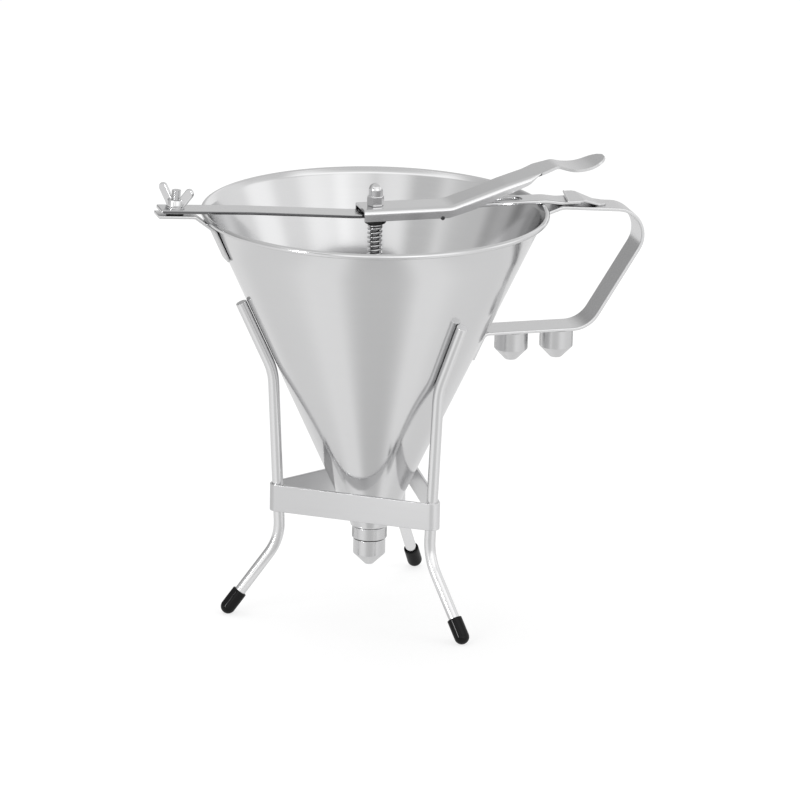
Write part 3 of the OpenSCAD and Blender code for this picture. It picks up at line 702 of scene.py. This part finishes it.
def makeNozzles():
    corners, rounds = nozzleCorners(*nozzles["inUse"], nozzles["outlet"], nozzles["mouth"])
    bm = turnedShape(corners, rounds)
    placePiece("nozzleInUse", bm, "used_nozzle", "turnedSteel", ["nozzle"])
    mouth = nozzles["spareMouth"]
    for name, (x, outlet, body, node) in nozzles["spares"].items():
        corners, rounds = nozzleCorners(*nozzles["spare"], outlet, mouth)
        bm = flutedShape(corners, rounds, nozzles["flutes"], nozzles["fluteDepth"], mouth, mouth + 16.0,
                         nozzles["spare"][0])
        shift(bm, (x, 0, 0))
        placePiece(name, bm, body, "turnedSteel", [node])
    high = spout["ringLow"]
    bm = ring(nozzles["socket"], nozzles["sealRadius"], high - nozzles["sealThick"], high, [0.1, 0.2, 0.2, 0.1])
    placePiece("flatSeal", bm, "seal", "mattRubber", ["nozzle_seal"])
    bm = bmesh.new()
    for spare in nozzles["spares"].values():
        part = bmesh.new()
        screwThread(part, *nozzles["bossThread"])
        shift(part, (spare[0], 0, 0))
        addPart(bm, part)
    placePiece("spareBosses", bm, "funnel", "turnedSteel", ["spare_studs"])


makeCone()
makeSpout()
makeRing()
makeNozzles()
print("funnel, spout and nozzles are made")


handle = {
    "width": 19.0, "sheet": 1.8, "edge": 0.55,
    "bends": [0, 4, 16, 14.7, 12, 4, 0],
    "shoulder": (101.0, 220.149), "topFall": 4.75, "innerFall": 18.6,
    "gripFoot": (117.3, 152.499), "gripAngle": 58.1, "lowTab": 14, "highTab": 5,
}


def onCone(height, off):
    return (coneRadius(height) + off, height)


def makeHandle():
    off = (handle["sheet"] / 2 + 0.05) / math.cos(coneAngle)
    shoulder, gripFoot = handle["shoulder"], handle["gripFoot"]
    low = gripFoot[1]
    inwards, outwards, grip = (math.radians(a) for a in (handle["innerFall"], -handle["topFall"],
                                                         handle["gripAngle"]))
    aim = (shoulder[0] - math.cos(inwards), shoulder[1] - math.sin(inwards))
    over = (shoulder[0] + math.cos(outwards), shoulder[1] + math.sin(outwards))
    up = (gripFoot[0] + math.cos(grip), low + math.sin(grip))
    points = [onCone(low - handle["lowTab"], off), onCone(low, off), gripFoot,
              meet(gripFoot, up, shoulder, over), shoulder,
              meet(shoulder, aim, onCone(0, off), onCone(100, off)), onCone(low + handle["highTab"], off)]
    bm = bentStrip(points, handle["bends"], handle["sheet"], handle["width"], handle["edge"])
    placePiece("handleStrap", bm, "funnel", "rolledStrip", ["handle_strap"])


makeHandle()
print("handle is made")


stand = {
    "legs": {"Left": 175.66, "Right": 295.66, "Back": 55.66},
    "wire": 3.0,
    "points": [(76.5, 3.9), (48.8, 41.1), (53.64, 134.7), (71.40, 173.4)],
    "bends": [0, 28, 34, 0],
    "cap": 4.05, "capLength": 14.6, "capBore": 3.02, "capLip": 0.45,
    "bandLow": 57.5, "bandHigh": 72.4, "bandSheet": 1.5, "bandEdge": 0.35,
}


def makeLegs():
    toe = (Vector(stand["points"][1]) - Vector(stand["points"][0])).normalized()
    lean = math.atan2(toe.x, toe.y)
    for name, angle in stand["legs"].items():
        bm = bmesh.new()
        start = Matrix.Translation((stand["points"][0][0], 0, stand["points"][0][1]))
        toes = start @ Matrix.Rotation(lean, 4, "Y")
        bmesh.ops.create_circle(bm, cap_ends=False, segments=24, radius=stand["wire"], matrix=toes)
        loop = bm.edges[:]
        caps = capLoop(bm, loop)
        last = bendAlong(bm, loop, stand["points"], stand["bends"], finest=5.0)
        caps += capLoop(bm, last)
        softenCaps(bm, caps, 0.3)
        faceOut(bm)
        turnBy(bm, angle)
        placePiece("standLeg" + name, bm, "stand", "drawnWire", ["stand_leg_" + name.lower()], crease=60)
        # dipped cap: round toe, thick lip, flat where it stands
        cap, length = stand["cap"], stand["capLength"] - stand["cap"]
        bore, lip = stand["capBore"], stand["capLip"]
        outline = arcPoints((0, 0), cap, -90, 0, 12) + [(cap, length * 0.5), (cap, length - 1.2)]
        outline += arcPoints((cap - lip, length - lip), lip, 0, 150, 5)
        outline += [(bore, length - 0.6), (bore, 0), (0, 0)]
        bm = moved(turnedSolid(outline, 40), toes)
        capLoop(bm, cutAcross(bm, (0, 0, 0.002), straightUp, clear_inner=True))
        faceOut(bm)
        turnBy(bm, angle)
        placePiece("footCap" + name, bm, "stand", "dippedCap", ["foot_cap_" + name.lower()], crease=50)


def makeBand():
    # rounded triangle round the three wires
    low, high, sheet = stand["bandLow"], stand["bandHigh"], stand["bandSheet"]
    middle = (low + high) / 2
    foot, knee = stand["points"][1], stand["points"][2]
    reach = foot[0] + (knee[0] - foot[0]) * (middle - foot[1]) / (knee[1] - foot[1])
    bend = stand["wire"] + sheet / 2
    corner = reach + 2 * bend
    tips = [Vector((corner * math.cos(math.radians(a)), corner * math.sin(math.radians(a))))
            for a in sorted(stand["legs"].values())]
    start = (tips[2] + tips[0]) / 2
    way = (tips[0] - start).normalized()
    bm = bmesh.new()
    axes = (Vector((way.y, -way.x, 0)), Vector((way.x, way.y, 0)), straightUp)
    loop = stripLoop(bm, sheet, high - low, stand["bandEdge"], (start.x, start.y, middle), axes)
    bendAlong(bm, loop, [start] + tips + [start], [0, bend, bend, bend, 0], upright=False, finest=8.0)
    weld(bm, 1e-3)
    faceOut(bm)
    placePiece("legBand", bm, "stand", "bandStrip", ["stand_band"])


makeLegs()
makeBand()
print("stand is made")


bar = {
    "under": [(-117.4, 227.099), (-70.0, 224.199), (-11.0, 219.199), (14.0, 219.199), (62.0, 222.249),
              (93.0, 222.249), (101.0, 220.949), (112.5, 220.949)],
    "bends": [0, 80, 80, 80, 80, 10, 10, 0],
    "sheet": 2.0, "width": 13.5, "edge": 0.6, "corner": 1.2, "section": 7,
    "rodHole": 2.6, "slotRadius": 4.0, "slotMiddles": (56.5, 76.5),
}


def bendHeight(x):
    # height of the bar's underside, its bends taken as parabolas
    points = bar["under"]
    for (x0, z0), (x1, z1) in zip(points, points[1:]):
        if x <= x1 or (x1, z1) == points[-1]:
            height = z0 + (z1 - z0) * (x - x0) / (x1 - x0)
            break
    for i in range(1, len(points) - 1):
        before = (points[i][1] - points[i - 1][1]) / (points[i][0] - points[i - 1][0])
        after = (points[i + 1][1] - points[i][1]) / (points[i + 1][0] - points[i][0])
        turn = after - before
        reach = bar["bends"][i] * abs(math.atan(after) - math.atan(before)) / 2
        off = abs(x - points[i][0])
        if off < reach:
            height += turn * (reach - off) ** 2 / (4 * reach)
    return height


def holedSection(bm, low, high, half, ends, radius):
    # a stretch of plate with a round or long hole: outer and inner loops, bridged
    across, along = 6, 8
    left, right = ends
    spread = 90 if right > left else 45
    outer, inner = [], []
    for side, near, far, first, second in ((1, high, low, right, left), (-1, low, high, left, right)):
        turn = 0 if side > 0 else 180
        outer += [(near, side * half * (2 * k / across - 1)) for k in range(across)]
        outer += [(near + (far - near) * k / along, side * half) for k in range(along)]
        inner += arcPoints((first, 0), radius, turn - spread, turn + spread, across)[:-1]
        if right > left:
            inner += [(first + (second - first) * k / along, side * radius) for k in range(along)]
        else:
            inner += arcPoints((first, 0), radius, turn + spread, turn + 180 - spread, along)[:-1]
    loops = [chain(bm, [(x, y, 0) for x, y in points], True)[1] for points in (outer, inner)]
    bmesh.ops.bridge_loops(bm, edges=loops[0] + loops[1])


def endEdges(bm, x):
    return [e for e in bm.edges if all(abs(v.co.x - x) < 1e-4 for v in e.verts) and len(e.link_faces) == 1]


def stretchTo(bm, start, end):
    grown = bmesh.ops.extrude_edge_only(bm, edges=endEdges(bm, start))["geom"]
    shift(bm, (end - start, 0, 0), vertsIn(grown))


def makeCrossBar():
    bm = bmesh.new()
    half = bar["width"] / 2
    run = bar["section"]
    slotLow, slotHigh = bar["slotMiddles"]
    holedSection(bm, -run, run, half, (0, 0), bar["rodHole"])
    holedSection(bm, slotLow - run, slotHigh + run, half, bar["slotMiddles"], bar["slotRadius"])
    stretchTo(bm, -run, bar["under"][0][0])
    stretchTo(bm, run, slotLow - run)
    weld(bm, 1e-4)
    stretchTo(bm, slotHigh + run, bar["under"][-1][0])
    weld(bm, 1e-4)
    faceOut(bm)
    tops = bmesh.ops.extrude_face_region(bm, geom=bm.faces[:])["geom"]
    shift(bm, (0, 0, bar["sheet"]), vertsIn(tops))
    faceOut(bm)
    roundEdges(bm, [e for e in sharpEdges(bm) if climb(e) > 1], bar["corner"], 4)
    roundEdges(bm, [e for e in sharpEdges(bm) if climb(e) < 1], bar["edge"])
    x = -114.0
    while x < 110:
        cutAcross(bm, (x, 0, 0), alongBar)
        x += 2.0 if x > 88 else 4.0         # closer over the tight bends
    for vert in bm.verts:
        vert.co.z += bendHeight(vert.co.x)
    placePiece("crossBar", bm, "funnel", "barStrip", ["cross_bar"])


clip = {
    "start": 103.8, "over": 223.599, "lip": (1.1, 0.6), "level": 9.0, "slope": 18.0, "reach": 23.7,
    "bends": [0, 1.2, 3, 8, 0], "sheet": 1.2, "edge": 0.4,
    "width": 22.6, "wideRun": 6.2, "endWidth": 12.0, "askew": 0.16, "cutEvery": 2.9,
    "overStrap": 1.555,     # from the strap's middle to the clip's
}


def makeClip():
    # wide turned-up lip, level over the bar's end, then narrowing down on to the strap with a round end
    start, over, wide, end = clip["start"], clip["over"], clip["width"] / 2, clip["endWidth"] / 2
    tip = start + clip["reach"]
    fall = math.tan(math.radians(handle["topFall"]))

    def onStrap(x):
        return (x, handle["shoulder"][1] + clip["overStrap"] - (x - handle["shoulder"][0]) * fall)

    def halfAt(x):
        narrow, rounded = start + clip["wideRun"], tip - end
        if x < narrow:
            return wide
        if x < rounded:
            return wide + (end - wide) * (x - narrow) / (rounded - narrow)
        return math.sqrt(max(end ** 2 - (x - rounded) ** 2, 0.05))

    points = [(start - clip["lip"][0], over + clip["lip"][1]), (start, over), (start + clip["level"], over),
              onStrap(start + clip["slope"]), onStrap(tip)]
    bm = bentStrip(points, clip["bends"], clip["sheet"], clip["width"], clip["edge"], 0.3, False)
    cuts = [start + clip["wideRun"] + k * clip["cutEvery"] for k in range(4)]
    cuts += [tip - end + end * math.sin(math.pi / 2 * k / 12) for k in range(12)]
    for cut in cuts:
        cutAcross(bm, (cut, 0, 0), alongBar)
    for vert in bm.verts:
        vert.co.y *= halfAt(vert.co.x) / wide
    level = start + clip["level"]
    for vert in bm.verts:       # the lip runs a little askew
        if vert.co.x < level:
            vert.co.x += (vert.co.y + wide) * clip["askew"] * (level - vert.co.x) / clip["level"]
    faceOut(bm)
    placePiece("barClip", bm, "funnel", "rolledStrip", ["handle_clip"])


post = {
    "foot": (-108.716, 226.568), "tilt": 3.501,
    "thread": (2.5, 0.38, 0.8, -2.8, 11.5),     # radius, depth, pitch, low and high end
    # inner and outer radius, low and high end, rounds at the corners, steps
    "spacer": (2.55, 4.6, -1.18, -0.02, [0.1, 0.3, 0.3, 0.1], 48),
    "washer": (2.85, 5.2, 2.0, 2.8, [0.1, 0.25, 0.25, 0.15], 64),
}


def onStud(bm):
    turn = Matrix.Rotation(math.radians(post["tilt"]), 4, "Y")
    return moved(bm, Matrix.Translation((post["foot"][0], 0, post["foot"][1])) @ turn)


bracket = {
    "sheet": 1.6, "width": 12.6, "edge": 0.5, "bends": [0, 2.5, 3, 0],
    "flange": 9.8, "slant": 37.9, "down": 21.7, "underBar": 1.2, "offBead": 0.05,
}


def makeBracket():
    # flange under the bar, slant clear of the rolled rim, and a tab down the cone
    tilt, slant, half = math.radians(post["tilt"]), math.radians(bracket["slant"]), bracket["sheet"] / 2
    drop = bracket["underBar"] + half
    foot = (post["foot"][0] - drop * math.sin(tilt), post["foot"][1] - drop * math.cos(tilt))
    flange = (math.cos(tilt), -math.sin(tilt))
    away = funnel["beadRadius"] + bracket["offBead"] + half
    bead = funnel["beadHeight"]
    onSlant = (-funnel["rimRadius"] - away * math.sin(slant), bead - away * math.cos(slant))
    alongSlant = (onSlant[0] + math.cos(slant), onSlant[1] - math.sin(slant))
    off = (half + 0.05) / math.cos(coneAngle)
    high = (-coneRadius(bead) - off, bead)
    low = (-coneRadius(bead - bracket["down"]) - off, bead - bracket["down"])
    points = [(foot[0] - bracket["flange"] * flange[0], foot[1] - bracket["flange"] * flange[1]),
              meet(foot, (foot[0] + flange[0], foot[1] + flange[1]), onSlant, alongSlant),
              meet(onSlant, alongSlant, high, low), low]
    bm = bentStrip(points, bracket["bends"], bracket["sheet"], bracket["width"], bracket["edge"])
    placePiece("barBracket", bm, "funnel", "rolledStrip", ["bar_bracket"])


def makeStud():
    bm = bmesh.new()
    screwThread(bm, *post["thread"])
    placePiece("barStud", onStud(bm), "funnel", "turnedSteel", ["bracket_stud"], crease=45)
    placePiece("barSpacer", onStud(ring(*post["spacer"])), "funnel", "mattRubber", ["bar_spacer"])
    placePiece("flatWasher", onStud(ring(*post["washer"])), "bar_washer", "pressedSteel", ["wing_washer"])


wing = {
    "hub": [(2.55, 0), (4.7, 0), (4.7, 0.9), (4.3, 3.9), (2.55, 3.9)],
    "long": 11.1, "deep": 5.0, "thick": 2.0, "edge": 0.55, "root": (3.6, 0, 1.6), "lean": 53, "turned": 128,
    "height": 2.8,          # of the nut's underside over the stud's foot
}


def makeWingNut():
    # domed hub and two round-ended wings, pressed from one blank
    bm = turnedShape(wing["hub"], [0.15, 0.3, 0.4, 0.7, 0.3], 48)
    half = wing["deep"] / 2
    for side in (0, math.pi):
        part = bmesh.new()
        corners = [(-0.4, -half), (wing["long"], -half), (wing["long"], half), (-0.4, half)]
        capLoop(part, roundedLoop(part, corners, [0, half - 0.05, half - 0.05, 0], 8))
        tops = vertsIn(bmesh.ops.extrude_face_region(part, geom=part.faces[:])["geom"])
        shift(part, (0, wing["thick"], 0), tops)
        shift(part, (0, -wing["thick"] / 2, 0))
        faceOut(part)
        roundEdges(part, sharpEdges(part), wing["edge"])
        place = (Matrix.Rotation(side, 4, "Z") @ Matrix.Translation(wing["root"])
                 @ Matrix.Rotation(-math.radians(wing["lean"]), 4, "Y"))
        moved(part, place)
        capLoop(part, cutAcross(part, (0, 0, 0.05), straightUp, clear_inner=True))
        addPart(bm, part)
    turnBy(bm, wing["turned"])
    shift(bm, (0, 0, wing["height"]))
    placePiece("wingNut", onStud(bm), "bar_wing_nut", "pressedSteel", ["wing_nut"])


makeCrossBar()
makeClip()
makeBracket()
makeStud()
makeWingNut()
print("cross bar and its fastening are made")


lever = {
    "plate": [(-8.4, 223.568), (39.532, 223.568), (70.0, 233.822), (98.2, 242.272), (110.5, 238.872),
              (125.6, 245.072)],
    "bends": [0, 14, 60, 6, 25, 0],
    "width": 20.0, "sheet": 1.5, "shoulder": 2.5, "rim": 0.35, "spacing": 2.0, "finest": 5.0,
    "fullDepth": 4.2,       # from this depth of the side on its fold has the full radius
    "sideLow": [(-8.4, 217.968), (38.0, 217.968), (52.0, 221.968), (82.0, 233.822), (87.0, 238.622),
                (88.6, 240.3)],
    "waist": 2.0, "waistMiddle": 98.2, "waistRun": 10.0,
    "keeper": (34.4, 218.088), "keeperRadius": 1.1, "keeperHalf": 10.4,
}


def plateStations(points, bends, spacing, finest):
    # places and slopes along the plate's middle line
    path, ways, turns, cuts = pathTurns(points, bends)
    out = []
    for i, way in enumerate(ways):
        first, last = path[i] + way * cuts[i], path[i + 1] - way * cuts[i + 1]
        count = max(1, round((last - first).length / spacing))
        for k in range(count + (i == len(ways) - 1)):
            out.append((first + (last - first) * k / count, math.atan2(way.y, way.x)))
        turn = turns[i + 1]
        if abs(turn) > 1e-6:
            side = math.copysign(1, turn)
            middle = last + side * bends[i + 1] * Vector((-way.y, way.x))
            steps = max(2, math.ceil(math.degrees(abs(turn)) / finest))
            for k in range(steps):
                a = turn * k / steps
                arm = last - middle
                spot = middle + Vector((arm.x * math.cos(a) - arm.y * math.sin(a),
                                        arm.x * math.sin(a) + arm.y * math.cos(a)))
                out.append((spot, math.atan2(way.y, way.x) + a))
    return out


def lineHeight(points, x):
    for (x0, z0), (x1, z1) in zip(points, points[1:]):
        if x <= x1:
            return z0 + (z1 - z0) * (x - x0) / (x1 - x0)
    return points[-1][1]


def makeLever():
    # outer skin of the pressed channel, then its thickness inwards
    half, bend = lever["width"] / 2, lever["shoulder"]
    tip = lever["plate"][-1][0]
    stations = plateStations(lever["plate"], lever["bends"], lever["spacing"], lever["finest"])
    flat = [-0.8, -0.55, -0.3, 0, 0.3, 0.55, 0.8]
    arc = [math.radians(a) for a in (0, 22, 45, 68, 90)]
    bm = bmesh.new()
    edges = None
    for spot, slope in stations:
        normal = Vector((-math.sin(slope), math.cos(slope)))
        skin = spot + normal * lever["sheet"] / 2
        out = tip - skin.x
        inTip = out < half
        wide = math.sqrt(max(half ** 2 - (half - max(out, 0.02)) ** 2, 0.3)) if inTip else half
        offWaist = abs(skin.x - lever["waistMiddle"]) / lever["waistRun"]
        if offWaist < 1:
            wide -= lever["waist"] * (1 + math.cos(math.pi * offWaist)) / 2
        depth = max(skin.y - lineHeight(lever["sideLow"], skin.x), 0.0)
        if skin.x > lever["sideLow"][-1][0]:
            depth = 0.0
        fold = bend * min(depth / lever["fullDepth"], 1.0)
        # one side from its lower edge up and over its shoulder, the top, and the other side
        side = [(wide, fold + max(depth - fold, 0) * k / 4) for k in range(4, 0, -1)]
        side += [(wide - fold * (1 - math.cos(a)), fold * (1 - math.sin(a))) for a in arc]
        section = [(-y, down) for y, down in side] + [(share * (wide - fold), 0.0) for share in flat]
        section += side[::-1]
        if edges is None:
            row, edges = chain(bm, [(0, 0, 0)] * len(section))
        else:
            grown = bmesh.ops.extrude_edge_only(bm, edges=edges)["geom"]
            fresh = vertsIn(grown)
            edges = [e for e in edgesIn(grown) if all(v in fresh for v in e.verts)]
            row = [next(w for w in (e.other_vert(v) for e in v.link_edges) if w in fresh) for v in row]
        for vert, (y, down) in zip(row, section):
            drop = Vector((0.0, -1.0)) if depth > 0.3 else -normal
            vert.co = Vector((skin.x + drop.x * down, y, skin.y + drop.y * down))
    weld(bm, 0.02)
    bmesh.ops.dissolve_degenerate(bm, edges=bm.edges, dist=0.01)
    up = [f for f in bm.faces if f.normal.z > 0.5]
    if len(up) < len([f for f in bm.faces if f.normal.z < -0.5]):
        bmesh.ops.reverse_faces(bm, faces=bm.faces)
    piece = placePiece("thumbLever", bm, "thumb_lever", "leverSheet", ["lever"], keepNormals=True)
    wall = piece.modifiers.new("sheetThickness", "SOLIDIFY")
    wall.thickness = lever["sheet"] / 1000
    wall.offset = -1
    wall.use_even_offset = False
    soft = piece.modifiers.new("softEdges", "BEVEL")
    soft.width = lever["rim"] / 1000
    soft.segments = 2
    soft.limit_method = "ANGLE"
    soft.angle_limit = math.radians(50)
    evenShading(piece)


def makeKeeperPin():
    x, z = lever["keeper"]
    r, h = lever["keeperRadius"], lever["keeperHalf"]
    bm = turnedSolid([(0, -h), (r - 0.3, -h), (r, 0.3 - h), (r, h - 0.3), (r - 0.3, h), (0, h)], 32)
    moved(bm, Matrix.Translation((x, 0, z)) @ onSide)
    placePiece("keeperPin", bm, "thumb_lever", "blackPin", ["keeper_pin"])


makeLever()
makeKeeperPin()
print("lever is made")


valve = {
    "rod": [(0, 47.0), (2.1, 47.0), (2.5, 47.4), (2.5, 120), (2.5, 200), (2.5, 231.6), (2.1, 232.0),
            (0, 232.0)],
    "stopper": [(0, 41.6), (1.5, 41.6), (4.4, 47.4), (4.6, 47.6), (6.7, 47.6), (6.8, 47.8), (6.8, 49.2),
                (6.4, 49.6), (4.4, 49.6), (4.1, 49.9), (4.1, 54.2), (3.7, 54.6), (0, 54.6)],
    # inner and outer radius, low and high end, rounds at the corners, steps
    "collar": (2.5, 5, 174, 178, [0, 0.4, 0.4, 0], 48),
    "buffer": (2.85, 5.75, 214.8, 219.18, [0.2, 0.7, 0.7, 0.2], 48),
    "springRadius": 3.6, "springWire": 0.6, "springLow": 178.0, "springHigh": 214.8, "turns": 16,
    "springLength": 36.8, "lift": 8.46,
    "nutLow": 224.338, "nutFlats": 8.0, "nutHigh": 5.4, "nutEdge": 0.45,
    "dome": 3.75, "domeLow": -0.6, "domeSide": 1.5, "domeCentre": 3,    # heights from the hexagon's top
}


def makeValve():
    # the valve rod takes the darkened steel, painted shade for the dark inside the spring
    placePiece("valveRod", turnedSolid(valve["rod"], 32), "valve", "paintedShadeRodSteel", ["valve_rod"])
    placePiece("valveStopper", turnedSolid(valve["stopper"], 64), "valve", "turnedSteel", ["stopper"])
    placePiece("springCollar", ring(*valve["collar"]), "valve", "turnedSteel", ["spring_collar"])
    placePiece("rubberBuffer", ring(*valve["buffer"]), "funnel", "mattRubber", ["spring_buffer"])


def makeSpring():
    # closed coils at both ends, open turns between them
    wire, radius = valve["springWire"], valve["springRadius"]
    bm = bmesh.new()
    low = valve["springLow"] + 0.02 + wire
    run = valve["springHigh"] - valve["springLow"] - 0.04 - 2 * wire
    bmesh.ops.create_circle(bm, cap_ends=False, segments=10, radius=wire,
                            matrix=Matrix.Translation((radius, 0, low)) @ onSide)
    loop = bm.edges[:]
    capLoop(bm, loop)
    closed = 2.06 * wire
    middle = (run - 2 * closed) / (valve["turns"] - 2)
    steps = 28
    for pitch, turns in ((closed, 1), (middle, valve["turns"] - 2), (closed, 1)):
        loop = swing(bm, loop, 2 * math.pi * turns, steps * turns, rise=pitch / steps)
    capLoop(bm, loop)
    faceOut(bm)
    piece = placePiece("valveSpring", bm, "funnel", "springSteel", ["spring"], crease=60, keepNormals=True)
    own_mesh(piece)


def makeAcornNut():
    # hexagon with turned corners under a domed cap
    low, flats, high = valve["nutLow"], valve["nutFlats"] / 2, valve["nutHigh"]
    corner = flats / math.cos(math.radians(30))
    bm = bmesh.new()
    bmesh.ops.create_circle(bm, cap_ends=True, segments=6, radius=corner,
                            matrix=Matrix.Translation((0, 0, low)) @ Matrix.Rotation(math.radians(90), 4, "Z"))
    tops = vertsIn(bmesh.ops.extrude_face_region(bm, geom=bm.faces[:])["geom"])
    shift(bm, (0, 0, high), tops)
    faceOut(bm)
    roundEdges(bm, [e for e in bm.edges if climb(e) < 0.1], valve["nutEdge"])
    placePiece("acornHexagon", bm, "valve", "pressedSteel", ["acorn_nut"])
    dome, top = valve["dome"], low + high
    foot = top + valve["domeLow"]
    outline = [(0, foot), (2.4, foot), (dome, foot), (dome, top + valve["domeSide"])]
    bm = turnedSolid(outline + arcPoints((0, top + valve["domeCentre"]), dome, 0, 90, 12), 48)
    placePiece("acornDome", bm, "valve", "pressedSteel")


makeValve()
makeSpring()
makeAcornNut()
print("valve, spring and nut are made")

scene = bpy.context.scene
scene.view_settings.view_transform = "Standard"

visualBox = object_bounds()
for title, box in (("cad box", cadBox), ("visual box", visualBox)):
    print(title, [[round(v, 4) for v in corner] for corner in box])
